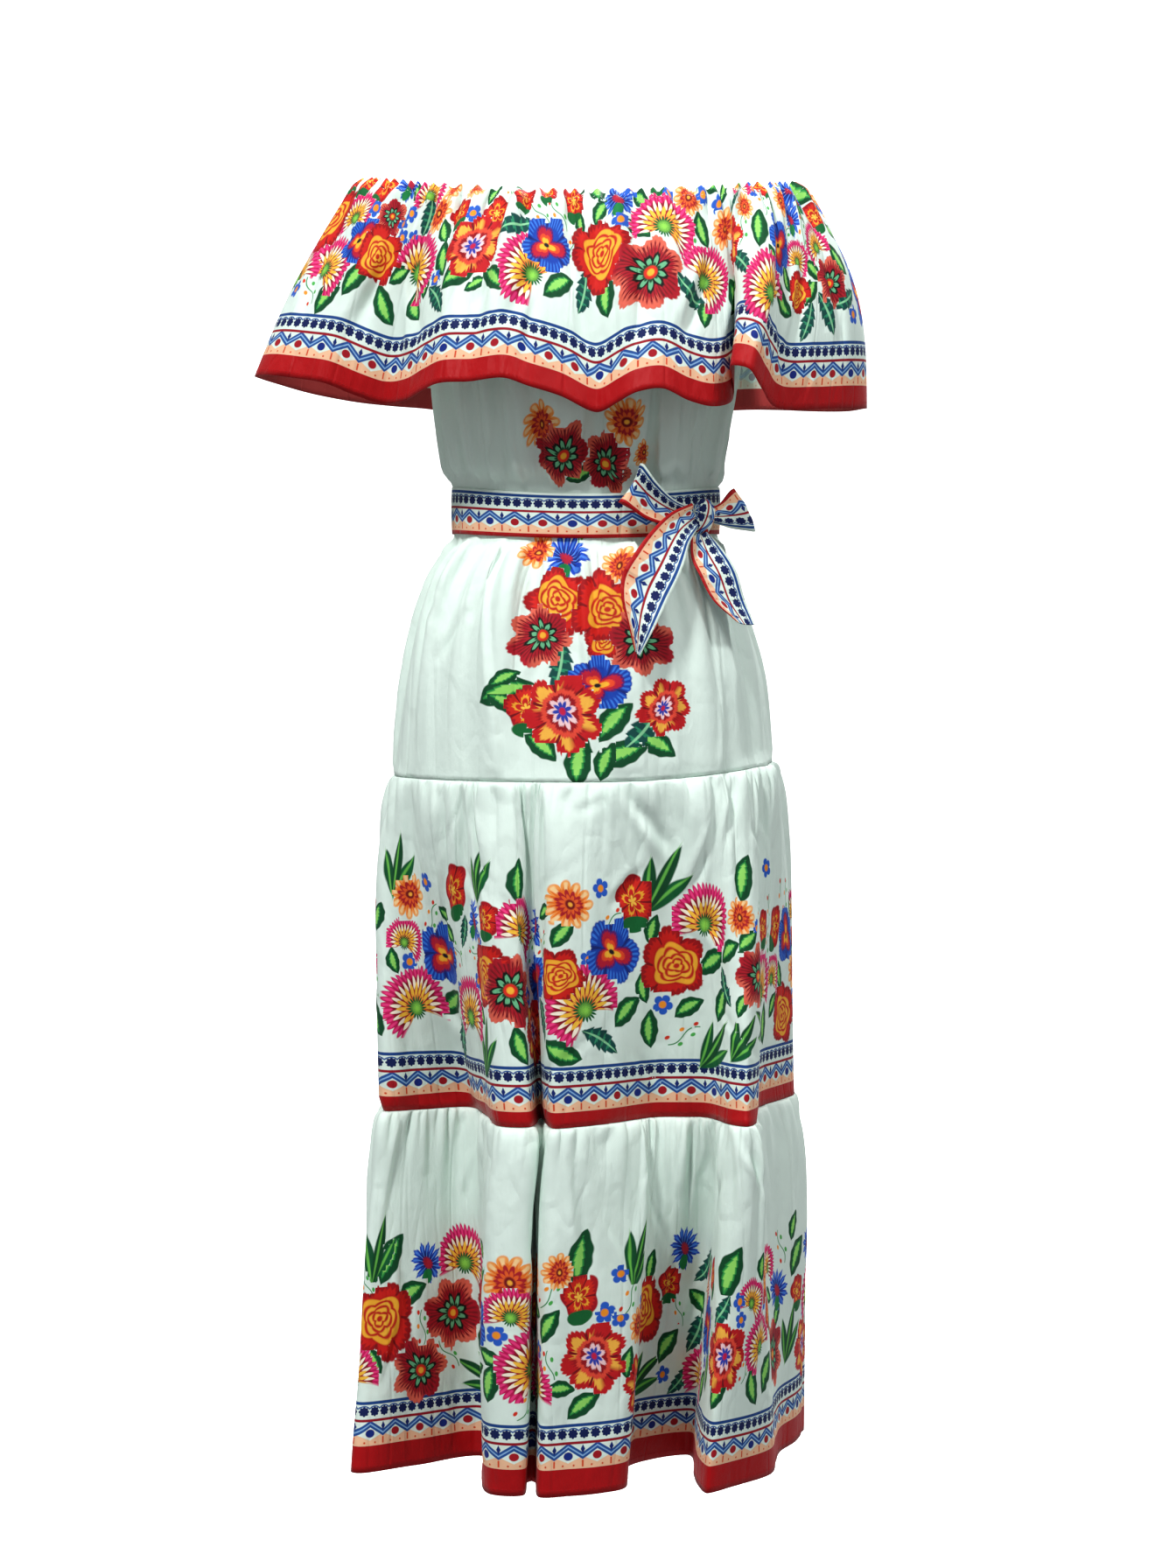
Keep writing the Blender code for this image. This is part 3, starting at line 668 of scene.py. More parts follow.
class Field:
    """A value in a shader. Arithmetic on it adds Math nodes."""

    def __init__(self, tree, socket):
        self.tree = tree
        self.socket = socket

    def math(self, operation, *values, clamped=False):
        node = self.tree.nodes.new("ShaderNodeMath")
        node.operation = operation
        node.use_clamp = clamped
        for place, value in zip(node.inputs, values):
            if isinstance(value, Field):
                self.tree.links.new(value.socket, place)
            else:
                place.default_value = float(value)
        return Field(self.tree, node.outputs[0])

    def __neg__(self):
        return self.math("MULTIPLY", self, -1.0)


def operator(operation, swapped=False):
    def act(self, other):
        return self.math(operation, *((other, self) if swapped else (self, other)))
    return act


for sign, operation in (("add", "ADD"), ("sub", "SUBTRACT"), ("mul", "MULTIPLY"),
                        ("truediv", "DIVIDE")):
    setattr(Field, "__%s__" % sign, operator(operation))
    setattr(Field, "__r%s__" % sign, operator(operation, swapped=True))


NUMBER_MATHS = {"ABSOLUTE": np.abs, "ARCTAN2": np.arctan2, "COSINE": np.cos,
                "FLOOR": np.floor, "FRACT": lambda v: v - np.floor(v), "MAXIMUM": np.maximum,
                "MINIMUM": np.minimum, "POWER": np.power, "SINE": np.sin, "SQRT": np.sqrt}


def maths(operation, *values):
    field = next((value for value in values if isinstance(value, Field)), None)
    if field is None:
        return NUMBER_MATHS[operation](*values)
    return field.math(operation, *values)


def size_of(value):
    return maths("ABSOLUTE", value)


def distance(x, y):
    return maths("SQRT", x * x + y * y)


def inside(depth, soft=0.05):
    """1 where depth is above 0 and 0 where it is below, with a soft edge."""
    if isinstance(depth, Field):
        return depth.math("MULTIPLY_ADD", depth, 1 / soft, 0.5, clamped=True)
    return np.clip(depth / soft + 0.5, 0, 1)


def petals(turn, count, shift=0.0):
    """1 at the middle of each of a flower's petals and 0 between them."""
    return size_of(maths("COSINE", turn * (count / 2) + shift))


def polar(x, y):
    return distance(x, y), maths("ARCTAN2", x, y)


def leaf_shape(x, y, width):
    """Above 0 inside a pointed leaf that lies along x."""
    return width * (1 - x * x) - size_of(y)


# Print: each kind of motif is a list of colours and where they lie, from the ground up, in a
# disc of radius 1

def warped(x, y, much=0.05, shift=0.0):
    """Places drawn slightly askew, so that no two petals are alike."""
    return (x + much * maths("SINE", y * 5.0 + 1.0 + shift),
            y + much * maths("SINE", x * 4.0 + 2.0 + shift))


def dahlia(x, y):
    x, y = warped(x * 1.10, y * 1.10 + 0.30, 0.04)
    r, turn = polar(x, y)
    fringe = petals(turn, 42)
    tips = petals(turn, 27, 0.7)
    other = petals(turn, 19, 0.2)
    fan = inside(2.25 - size_of(turn), 0.1)
    return [("c5145c", fan * inside(1.06 + 0.18 * fringe - r, 0.06)),
            ("ea3f86", fan * inside(fringe - 0.72, 0.3) * inside(1.16 - r, 0.1)
             * inside(r - 0.84, 0.1)),
            ("8e1226", fan * inside(0.82 + 0.08 * tips - r, 0.06)),
            ("fbf0dc", fan * inside(0.48 + 0.44 * tips - r) * inside(tips - 0.5, 0.2)),
            ("a3182a", fan * inside(0.54 + 0.10 * other - r, 0.06)),
            ("f5c244", fan * inside(0.30 + 0.42 * other - r) * inside(other - 0.4, 0.2)),
            ("c3242c", fan * inside(0.34 + 0.08 * tips - r)),
            ("f6b24a", fan * inside(0.10 + 0.34 * tips - r)),
            ("0f6232", inside(0.20 + 0.16 * other - r)),
            ("8fd255", inside(0.05 + 0.17 * fringe - r))]


def rose(x, y):
    x, y = warped(x, y, 0.07)
    r, turn = polar(x, y)
    wide = petals(turn, 6)
    teeth = petals(turn, 38)
    f = r / (0.76 + 0.20 * maths("SQRT", wide) + 0.03 * teeth)
    body = inside(1 - f)
    heart, around = polar(x * 1.05 - 0.04, y * 0.95 + 0.08)
    layers = [("a30e17", body), ("cf2019", body * inside(0.92 - 0.14 * teeth - f, 0.06)),
              ("840c13", body * inside(0.14 - wide, 0.08) * inside(0.95 - f)),
              ("c41c18", inside(0.60 + 0.08 * petals(around, 5, 0.3) - heart, 0.04)),
              ("f3b338", inside(0.53 + 0.10 * petals(around, 5, 0.3) - heart, 0.04))]
    for reach, count, shift in ((0.44, 5, 1.0), (0.30, 4, 0.2), (0.17, 3, 0.9)):
        rim = reach + 0.08 * petals(around, count, shift) - heart
        layers.append(("c5291a", inside(rim, 0.04)))
        layers.append(("f6bd42", inside(rim - 0.055 - 0.03 * petals(around, 7, shift), 0.04)))
    return layers + [("c5291a", inside(0.06 - size_of(heart - 0.02), 0.04))]


def peony(x, y):
    x, y = warped(x, y, 0.06, 1.0)
    r, turn = polar(x, y)
    wide = petals(turn, 7)
    teeth = petals(turn, 46)
    other = petals(turn, 7, 1.5)
    some = inside(petals(turn, 3, 0.9) - 0.55, 0.25)
    f = r / (0.74 + 0.20 * wide + 0.06 * teeth)
    body = inside(1 - f)
    gold = some * inside(f - 0.50, 0.08) * inside(0.86 - 0.26 * teeth * other - f, 0.06)
    return [("c41a22", body), ("a3121c", body * inside(0.72 - 0.14 * teeth - f, 0.06)),
            ("f4b84e", gold * inside(wide - 0.2, 0.1)),
            ("780e18", body * inside(0.16 - wide, 0.08) * inside(0.92 - f)),
            ("e4503c", inside(0.50 + 0.12 * other - f, 0.06)),
            ("9c1220", inside(0.40 + 0.12 * other - 0.06 * teeth - f)),
            ("f3cfd2", inside(0.24 + 0.14 * petals(turn, 9) - f)),
            ("3345ae", inside(0.13 + 0.13 * petals(turn, 9, 0.6) - f)),
            ("c81f4a", inside(0.08 - r, 0.04))]


def pansy(x, y):
    x, y = warped(x, y, 0.07, 2.0)
    r, turn = polar(x, y)
    wide = petals(turn, 5)
    lobes = petals(turn, 3, 0.5)
    teeth = petals(turn, 40)
    f = r / (0.70 + 0.24 * maths("SQRT", wide) + 0.03 * teeth)
    body = inside(1 - f)
    return [("1746ad", body),
            ("3a7ad8", body * inside(teeth - 0.74, 0.2) * inside(f - 0.66, 0.1)
             * inside(0.95 - f)),
            ("112b7c", body * inside(0.15 - wide, 0.08)),
            ("5a1c70", body * inside(0.34 + 0.44 * lobes - 0.04 * teeth - f, 0.06)),
            ("bb1a3a", body * inside(0.26 + 0.46 * lobes - 0.08 * teeth - f, 0.06)),
            ("e6502a", inside(0.14 + 0.30 * lobes - f)),
            ("f8bd3c", inside(0.08 + 0.24 * lobes - 0.04 * teeth - f)),
            ("1b1420", inside(0.08 - r, 0.04))]


def poppy(x, y):
    x, y = warped(x, y, 0.05, 3.0)
    r, turn = polar(x, y)
    wide = petals(turn, 7)
    teeth = petals(turn, 42)
    star = petals(turn, 10, 0.3)
    f = r / (0.70 + 0.24 * wide + 0.04 * teeth)
    body = inside(1 - f)
    tips = inside(f - 0.80 + 0.20 * teeth, 0.06) * inside(petals(turn, 2, 0.6) - 0.5, 0.2)
    return [("ae162a", body), ("dd6a56", body * tips),
            ("6e0f1e", body * inside(0.16 - wide, 0.1) * inside(0.95 - f)),
            ("84101f", body * inside(teeth - 0.78, 0.2) * inside(f - 0.5, 0.1)
             * inside(0.84 - f, 0.1)),
            ("15130f", inside(0.38 + 0.20 * star - f)),
            ("6fb98c", inside(0.18 + 0.30 * star - f, 0.04) * inside(star - 0.45, 0.2)),
            ("1c4a30", inside(0.20 + 0.08 * star - f)),
            ("d8301f", inside(0.17 - r, 0.04)), ("f5b83c", inside(0.09 - r, 0.04))]


def daisy(x, y):
    x, y = warped(x, y, 0.04, 4.0)
    r, turn = polar(x, y)
    wide = petals(turn, 11)
    teeth = petals(turn, 31)
    f = r / (0.66 + 0.32 * maths("SQRT", wide))
    body = inside(1 - f, 0.08)
    return [("f4a052", body), ("ea7626", body * inside(0.86 - 0.14 * teeth - f, 0.08)),
            ("fbd49c", inside(wide - 0.84, 0.2) * inside(f - 0.6, 0.1) * inside(0.92 - f, 0.1)),
            ("b0202a", inside(0.46 + 0.16 * petals(turn, 13) - f, 0.07)),
            ("e4642a", inside(0.30 + 0.12 * wide - f, 0.07)), ("7d1018", inside(0.20 - r, 0.06)),
            ("f3b040", inside(0.09 - r))]


def cornflower(x, y):
    x, y = warped(x, y, 0.06, 5.0)
    r, turn = polar(x, y)
    tips = petals(turn, 13)
    teeth = petals(turn, 39)
    f = r / (0.56 + 0.36 * tips + 0.10 * teeth)
    cup = distance(x / 0.3, (y + 0.62) / 0.36)
    return [("1c4cc0", inside(1 - f, 0.1)), ("132c78", inside(0.58 + 0.1 * teeth - f, 0.1)),
            ("4f86e0", inside(tips - 0.9, 0.1) * inside(0.88 - f, 0.1)),
            ("b21f3a", inside(0.20 + 0.12 * tips - r, 0.06)), ("178044", inside(1 - cup, 0.15))]


def tiny_blue(x, y):
    r, turn = polar(x, y)
    rim = 0.55 + 0.45 * maths("SQRT", petals(turn, 5))
    f = r / rim
    return [("2a63c8", inside(1 - f, 0.12)), ("f39a2c", inside(0.36 - r, 0.12))]


def rosebud(x, y):
    x, y = warped(x, y, 0.05, 6.0)
    egg, turn = polar(x / 0.78, (y - 0.06) / 0.90)
    wide = petals(turn, 5, 0.5)
    teeth = petals(turn, 30)
    body = inside(0.86 + 0.14 * wide - egg, 0.06)
    cup = distance(x / 0.5, (y + 0.72) / 0.28)
    return [("a81020", body), ("d42a1e", body * inside(0.84 - 0.12 * teeth - egg, 0.08)),
            ("7c0d18", body * inside(0.14 - wide, 0.1)),
            ("f2b038", inside(0.26 + 0.36 * wide - 0.08 * teeth - egg, 0.06)),
            ("c41e1c", inside(0.14 + 0.30 * wide - egg, 0.06)),
            ("f7c650", inside(0.06 + 0.16 * wide - egg)), ("126a36", inside(1 - cup, 0.12))]


def leaf(x, y):
    bent = y - 0.14 * (1 - x * x)
    edge = leaf_shape(x, bent, 0.52) - 0.02 * maths("SINE", x * 12.0)
    teeth = maths("FRACT", x * 4 + y)
    light = leaf_shape(x * 1.25, bent - 0.03, 0.27) - 0.06 * teeth
    return [("04502c", inside(edge)), ("2f9a4c", inside(light)),
            ("98dc6e", inside(light - 0.07))]


def teal_leaf(x, y):
    bent = y + 0.12 * (1 - x * x)
    teeth = maths("FRACT", x * 3 + 0.4)
    edge = leaf_shape(x, bent, 0.46) - 0.14 * teeth * (1 - x * x)
    return [("0d4f4a", inside(edge)),
            ("2f8f6a", inside(edge - 0.14, 0.06) * inside(size_of(teeth - 0.5) - 0.32, 0.1)),
            ("8fd0a0", inside(leaf_shape(x, bent, 0.05), 0.03))]


def blades(x, y):
    layers = []
    for tilt, reach, dark in ((0.42, 1.5, "0a5530"), (-0.40, 1.6, "0d6236"), (0.0, 2.0, "094c2a")):
        along = ((x + 1) * math.cos(tilt) + y * math.sin(tilt)) / reach * 2 - 1
        aside = -(x + 1) * math.sin(tilt) + y * math.cos(tilt)
        layers.append((dark, inside(leaf_shape(along, aside, 0.20), 0.04)))
        layers.append(("6fbf55", inside(leaf_shape(along, aside - 0.04, 0.045), 0.04)))
    return layers


def sprig(x, y):
    stem = size_of(y - 0.16 * maths("SINE", x * 3.2))
    layers = [("2f8a4a", inside(0.028 - stem, 0.03) * inside(0.95 - size_of(x)))]
    for middle, lift, colour in ((-0.72, 0.26, "d8381f"), (-0.30, -0.30, "4fae52"),
                                 (0.08, 0.30, "f2962f"), (0.46, -0.16, "4fae52"),
                                 (0.82, 0.24, "d8381f")):
        layers.append((colour, inside(0.13 - distance(x - middle, (y - lift) * 1.5), 0.05)))
    return layers


MOTIFS = (dahlia, rose, peony, pansy, poppy, daisy, cornflower, tiny_blue, rosebud, leaf,
          teal_leaf, blades, sprig)
PLAIN, REVERSE, FIRST_MOTIF = 0, 1, 2


def border(across, up):
    """Border and red band, from places on the cloth in metres."""
    u, v = across * 1000, up * 1000
    repeat = maths("FRACT", u / 26)
    wave = size_of(repeat * 2 - 1)
    du = (repeat - 0.5) * 26
    trough = 13 - size_of(du)
    third = maths("FLOOR", u / 26)
    blue_eye = inside(0.2 - maths("FRACT", third / 3 + 0.01), 0.02)
    eye = inside(4.1 - distance(du, (v - 11.0) * 1.15), 0.7)
    zigzag = size_of(v - 19.6 + 8.6 * wave)
    dot_step = (maths("FRACT", u / 10.0) - 0.5) * 10.0
    dot, dot_turn = polar(dot_step, v - 30.6)
    arcs = size_of(distance(dot_step, v - 29.0) - 6.4)
    return [("f2c4a0", inside(v, 0.5) * inside(4.8 + 6.0 * wave - v, 0.8)),
            ("d6502f", inside(0.8 - trough, 0.5) * inside(3.0 - size_of(v - 4.4), 0.8)),
            ("d6502f", inside(0.9 - distance(size_of(du) - 5, v - 2.8), 0.6)),
            ("a81525", eye), ("102f86", eye * blue_eye),
            ("28569c", inside(3.1 - zigzag, 0.6)), ("8fb8e0", inside(0.7 - zigzag, 0.5)),
            ("102a74", inside(1 - trough / 2.0 - size_of(v - 17.0) / 4.0, 0.3)),
            ("9c1428", inside(1.2 - size_of(v - 22.6), 0.5)),
            ("0a1f5a", inside(3.5 + 1.0 * petals(dot_turn, 8) - dot, 0.5)),
            ("345c9c", inside(0.6 - arcs, 0.4) * inside(v - 32.6, 0.6)),
            ("1c4a8c", inside(1.4 - size_of(v - 38.2), 0.5)),
            ("b20812", inside(-v, 0.4))]


def linear(colour):
    """Linear RGBA of a colour given as six hexadecimal digits."""
    parts = [int(colour[place:place + 2], 16) / 255 for place in (0, 2, 4)]
    return (*[part / 12.92 if part < 0.04045 else ((part + 0.055) / 1.055) ** 2.4
              for part in parts], 1.0)


def coat_over(tree, ground, layers, strength=1.0):
    """Colour socket of the layers over a ground colour or socket."""
    for colour, mask in layers:
        mix = tree.nodes.new("ShaderNodeMix")
        mix.data_type = "RGBA"
        factor = mask * strength if strength != 1.0 else mask
        tree.links.new(factor.socket, mix.inputs["Factor"])
        if isinstance(ground, tuple):
            mix.inputs["A"].default_value = ground
        else:
            tree.links.new(ground, mix.inputs["A"])
        mix.inputs["B"].default_value = linear(colour)
        ground = mix.outputs["Result"]
    return ground


def set_inputs(node, values):
    for name, value in values.items():
        node.inputs[name].default_value = value


def map_places(tree, name):
    """Vector, across and up of a UV map."""
    node = tree.nodes.new("ShaderNodeUVMap")
    node.uv_map = name
    parts = tree.nodes.new("ShaderNodeSeparateXYZ")
    tree.links.new(node.outputs["UV"], parts.inputs["Vector"])
    return node.outputs["UV"], Field(tree, parts.outputs["X"]), Field(tree, parts.outputs["Y"])


def noise(tree, vector, scale, detail, stretch=(1, 1, 1)):
    mapping = tree.nodes.new("ShaderNodeMapping")
    set_inputs(mapping, {"Scale": stretch})
    tree.links.new(vector, mapping.inputs["Vector"])
    node = tree.nodes.new("ShaderNodeTexNoise")
    set_inputs(node, {"Scale": scale, "Detail": detail})
    tree.links.new(mapping.outputs["Vector"], node.inputs["Vector"])
    return Field(tree, node.outputs["Fac"])


GROUND = linear("e4f4eb")
THREAD_SPACING = 0.0011


def cloth_material(name, motif=None, reverse=False, plain=None):
    """Plain-woven polyester with the print, and a satin-like red band."""
    material = bpy.data.materials.new(name)
    material.use_nodes = True
    tree = material.node_tree
    shader = tree.nodes["Principled BSDF"]
    vector, across, up = map_places(tree, "cloth")
    shade = noise(tree, vector, 30, 3)
    if plain:
        colour = coat_over(tree, linear(plain), [("ffffff", (shade - 0.5) * 0.3)])
        band = None
    else:
        printed = border(across, up)
        band = printed[-1][1]
        ground = coat_over(tree, GROUND, [("d0dfd9", shade * 0.35)])
        colour = coat_over(tree, ground, printed[:-1], 0.35 if reverse else 1.0)
        colour = coat_over(tree, colour, printed[-1:], 0.94 if reverse else 1.0)
        if motif:
            _, x, y = map_places(tree, "motif")
            colour = coat_over(tree, colour, motif(x, y))
    tree.links.new(colour, shader.inputs["Base Color"])

    waves = 2 * math.pi / THREAD_SPACING
    thread = maths("SINE", across * waves) * maths("SINE", up * waves)
    wrinkle = noise(tree, vector, 55, 4, (1.0, 0.45, 1.0)) * 1.1
    fine = noise(tree, vector, 160, 3, (1.0, 0.6, 1.0)) * 0.35
    ridge = size_of(noise(tree, vector, 15, 2, (1.0, 0.6, 1.0)) - 0.5)
    pressed = size_of(noise(tree, vector, 30, 1, (1.0, 0.10, 1.0)) - 0.5)
    height = wrinkle + fine + thread * 0.05
    height = height - inside(0.022 - ridge, 0.05) * 0.35 - inside(0.020 - pressed, 0.05) * 0.5
    bump = tree.nodes.new("ShaderNodeBump")
    set_inputs(bump, {"Strength": 0.8, "Distance": 0.0017})
    tree.links.new(height.socket, bump.inputs["Height"])
    tree.links.new(bump.outputs["Normal"], shader.inputs["Normal"])

    rough = 0.66 + (shade - 0.5) * 0.16
    if band is not None and not reverse:
        rough = rough - band * 0.24
    tree.links.new(rough.socket, shader.inputs["Roughness"])
    set_inputs(shader, {"Specular IOR Level": 0.32, "Sheen Weight": 0.06, "Sheen Roughness": 0.45})
    return material


PRINTED = [cloth_material("printed_cloth"), cloth_material("printed_cloth_reverse", reverse=True)]
PRINTED += [cloth_material("printed_cloth_" + kind.__name__, kind) for kind in MOTIFS]
THREAD = cloth_material("white_thread", plain="f2f4f0")
RED_THREAD = cloth_material("red_thread", plain="a8141c")


# Places of the motifs of the front in millimetres and degrees, as they are seen at the middle
# plane

Motif = namedtuple("Motif", "kind x z size turn", defaults=(0,))
RUFFLE_MOTIFS = rows(
    Motif,
    ("dahlia", -234, -58, 30, -30), ("leaf", -210, -72, 20, 60), ("pansy", -206, -38, 26),
    ("rose", -188, -51, 28), ("rosebud", -193, 12, 17), ("cornflower", -159, 13, 17),
    ("dahlia", -139, 5, 22), ("daisy", -118, 10, 16), ("poppy", -177, -18, 18),
    ("teal_leaf", -145, -18, 18, 90), ("dahlia", -148, -58, 34, -50), ("peony", -103, -43, 33),
    ("dahlia", -57, -58, 34, 50), ("leaf", -118, -71, 20, 30), ("leaf", -86, -72, 18, -40),
    ("rosebud", -80, -12, 19), ("rosebud", -57, -3, 16), ("daisy", -100, 7, 12),
    ("leaf", -80, 5, 12, 60), ("pansy", -30, -42, 30), ("leaf", -22, -79, 20, 35),
    ("rose", 10, -58, 34), ("leaf", 29, -61, 16, -60), ("poppy", 60, -64, 37),
    ("teal_leaf", 97, -81, 24, -30), ("dahlia", 75, -18, 33, -20), ("rosebud", -8, -4, 20),
    ("leaf", 14, -14, 15, 60), ("cornflower", 33, -5, 18), ("leaf", 45, -27, 16, -40),
    ("daisy", 95, -2, 17), ("tiny_blue", 106, 2, 10), ("dahlia", 117, -72, 30, -60),
    ("peony", 134, -46, 28), ("dahlia", 168, -78, 34, 50), ("daisy", 142, -5, 16),
    ("leaf", 127, 5, 12, 50), ("pansy", 178, -42, 30), ("daisy", 175, -4, 16),
    ("tiny_blue", 151, 6, 9), ("leaf", 209, -63, 15, -40), ("leaf", 210, -86, 17, 50),
    ("poppy", 227, -74, 26), ("teal_leaf", 239, -90, 20, 20), ("rosebud", 210, -18, 16),
    ("rose", 198, -84, 20), ("cornflower", 194, -2, 14), ("leaf", 223, -32, 12, -50),
)
UPPER_MOTIFS = rows(
    Motif,
    ("dahlia", -161, -727, 34, 20), ("dahlia", -3, -727, 36, 30), ("dahlia", 162, -715, 36, 20),
    ("dahlia", 110, -651, 33, -20), ("dahlia", -53, -659, 30, -30), ("pansy", -128, -686, 33),
    ("pansy", 29, -686, 33), ("pansy", 187, -667, 28), ("rose", -96, -704, 32),
    ("rose", 82, -698, 33), ("rosebud", -118, -630, 27), ("rosebud", 48, -640, 27),
    ("poppy", -63, -722, 35), ("daisy", -166, -634, 22), ("daisy", -14, -642, 22),
    ("daisy", 141, -650, 18), ("tiny_blue", -149, -620, 9), ("tiny_blue", 17, -627, 9),
    ("tiny_blue", 168, -606, 9), ("blades", -175, -606, 30, 80), ("blades", -102, -610, 28, 80),
    ("blades", 74, -622, 34, 60), ("leaf", -120, -734, 20, 40), ("leaf", 41, -739, 20, 40),
    ("leaf", -58, -619, 22, 90), ("leaf", 147, -616, 22, 80), ("leaf", 122, -734, 20, 60),
    ("teal_leaf", -113, -666, 16, 70), ("teal_leaf", 126, -714, 20, -60), ("rose", -30, -706, 26),
    ("sprig", 25, -658, 20, 30), ("sprig", -143, -654, 18, 60), ("leaf", 97, -738, 16, 30),
)
LOWER_MOTIFS = rows(
    Motif,
    ("rose", -182, -1027, 37), ("rose", 55, -1018, 36), ("rose", 172, -979, 30),
    ("poppy", -121, -1018, 35), ("dahlia", -110, -962, 32, -20), ("dahlia", -51, -1059, 34, 30),
    ("dahlia", 162, -1046, 28, 40), ("cornflower", -142, -970, 19), ("cornflower", 91, -960, 21),
    ("daisy", -71, -986, 24), ("daisy", -22, -981, 17), ("tiny_blue", -46, -966, 9),
    ("peony", 10, -1062, 33), ("peony", 128, -1062, 33), ("rosebud", -2, -1003, 24),
    ("rosebud", 194, -998, 18), ("leaf", 0, -967, 26, 80), ("leaf", 134, -979, 26, 70),
    ("leaf", -174, -970, 26, 60), ("blades", -186, -962, 32, 80), ("blades", 51, -960, 34, 70),
    ("leaf", -30, -1034, 18, 60), ("leaf", -21, -1090, 15), ("leaf", 122, -1095, 18, 60),
    ("leaf", 79, -1050, 20, 60), ("leaf", -157, -1000, 20, 30), ("dahlia", -63, -1018, 24, -20),
    ("leaf", -86, -1082, 18, 80), ("rosebud", 79, -990, 20), ("leaf", 101, -1010, 16, -50),
    ("teal_leaf", 121, -1018, 18, 60), ("leaf", 189, -938, 15, 60), ("sprig", -35, -1000, 18, 50),
)
BODY_MOTIFS = rows(
    Motif,
    ("daisy", -42, -202, 22), ("daisy", 39, -205, 22), ("poppy", -23, -236, 31),
    ("poppy", 17, -239, 30), ("daisy", 55, -231, 12), ("cornflower", -15, -319, 25),
    ("daisy", -42, -315, 20), ("daisy", 30, -330, 18), ("rose", -22, -366, 34),
    ("rose", 15, -370, 34), ("poppy", -44, -398, 30), ("poppy", 55, -402, 32),
    ("teal_leaf", -26, -422, 24, 80), ("pansy", 15, -438, 29), ("leaf", -71, -446, 24, 20),
    ("peony", -19, -466, 37), ("rosebud", -55, -460, 24), ("peony", 74, -462, 26),
    ("leaf", 25, -475, 22, 50), ("teal_leaf", 53, -480, 26, 50), ("leaf", 35, -503, 22, 20),
    ("leaf", 18, -510, 18, 70), ("leaf", -2, -512, 22, 80), ("leaf", -78, -458, 16, -30),
    ("leaf", -71, -434, 14, 30), ("leaf", -46, -498, 18, -40), ("rose", 17, -394, 22),
    ("leaf", -3, -254, 16), ("leaf", 66, -498, 20, -30), ("sprig", -11, -298, 22, 80),
    ("leaf", -30, -342, 16, 40), ("leaf", 47, -347, 16, -30),
)
KINDS = {kind.__name__: kind for kind in MOTIFS}
GREENERY = ("leaf", "teal_leaf", "blades", "sprig")
ROUND = ("rose", "peony", "pansy", "poppy", "daisy", "tiny_blue")

# What fills the cloth where no table does: kind, size in metres, and rows of the flower band
# from its foot to its top, in shares
STREWN = (
    (("dahlia", 0.034), ("rose", 0.034), ("pansy", 0.031), ("dahlia", 0.032), ("poppy", 0.034),
     ("peony", 0.033)),
    (("rosebud", 0.023), ("cornflower", 0.020), ("dahlia", 0.022), ("daisy", 0.020),
     ("rosebud", 0.019)),
    (("leaf", 0.022), ("leaf", 0.019), ("teal_leaf", 0.022), ("blades", 0.030)),
    (("tiny_blue", 0.009), ("sprig", 0.018), ("leaf", 0.014)),
)
STREWN_ROWS = ((0.16, 0.60), (0.45, 0.92), (0.08, 0.95), (0.10, 1.0))

Placed = namedtuple("Placed", "kind across up size turn")


FAR = 9.0
STREW_TRIES = 1600    # tries for each metre of cloth
MOTIF_REACH = 1.12    # a motif's farthest colour, in its own sizes


def seen_from_front(points):
    """Where points are seen at the middle plane from the camera's place, right and up."""
    nearness = VIEW_DISTANCE / (VIEW_DISTANCE + points[..., 1])
    right = (points[..., 0] - AXIS_OFFSET) * nearness + AXIS_OFFSET
    return right, EYE_LEVEL + (points[..., 2] - EYE_LEVEL) * nearness


def placed_from_view(panel, table, red):
    """Motifs of a table put on the cloth that is seen at their places."""
    right, high = seen_from_front(panel.points)
    eye = np.array((AXIS_OFFSET, -VIEW_DISTANCE, EYE_LEVEL))
    faces_eye = (outward_normals(panel.points) * (eye - panel.points)).sum(axis=-1) > 0
    found = []
    for motif in table:
        off = np.hypot(right - motif.x * MM, high - motif.z * MM)
        off = np.where(faces_eye, off, FAR)
        near = off < max(0.004, off.min() + 0.001)
        spot = np.argmin(np.where(near, panel.points[..., 1], FAR))
        found.append(Placed(motif.kind, panel.across.flat[spot], panel.up.flat[spot] - red,
                            motif.size * MM, motif.turn))
    return found


def strewn(placed, width, low, high, seed, clear=0.86, without=()):
    """Motifs for the free places of a band of the cloth, big ones first."""
    random = np.random.default_rng(seed)
    found = list(placed)
    for kinds, (foot, top), crowd in zip(STREWN, STREWN_ROWS, (1.0, 1.0, 0.86, 0.8)):
        turn = 0
        for _ in range(int(width * STREW_TRIES)):
            kind, size = kinds[turn % len(kinds)]
            if kind in without:
                turn += 1
                continue
            size *= random.uniform(0.9, 1.08)
            across = random.uniform(0.0, width)
            up = blend(low, high, random.uniform(foot, top))
            gap = min((math.hypot(across - other.across, up - other.up)
                       - (size + other.size) * clear * crowd for other in found), default=1.0)
            if gap > 0:
                angle = random.uniform(20, 160) if kind in GREENERY else random.uniform(-40, 40)
                found.append(Placed(kind, across, up, size, angle))
                turn += 1
    return found


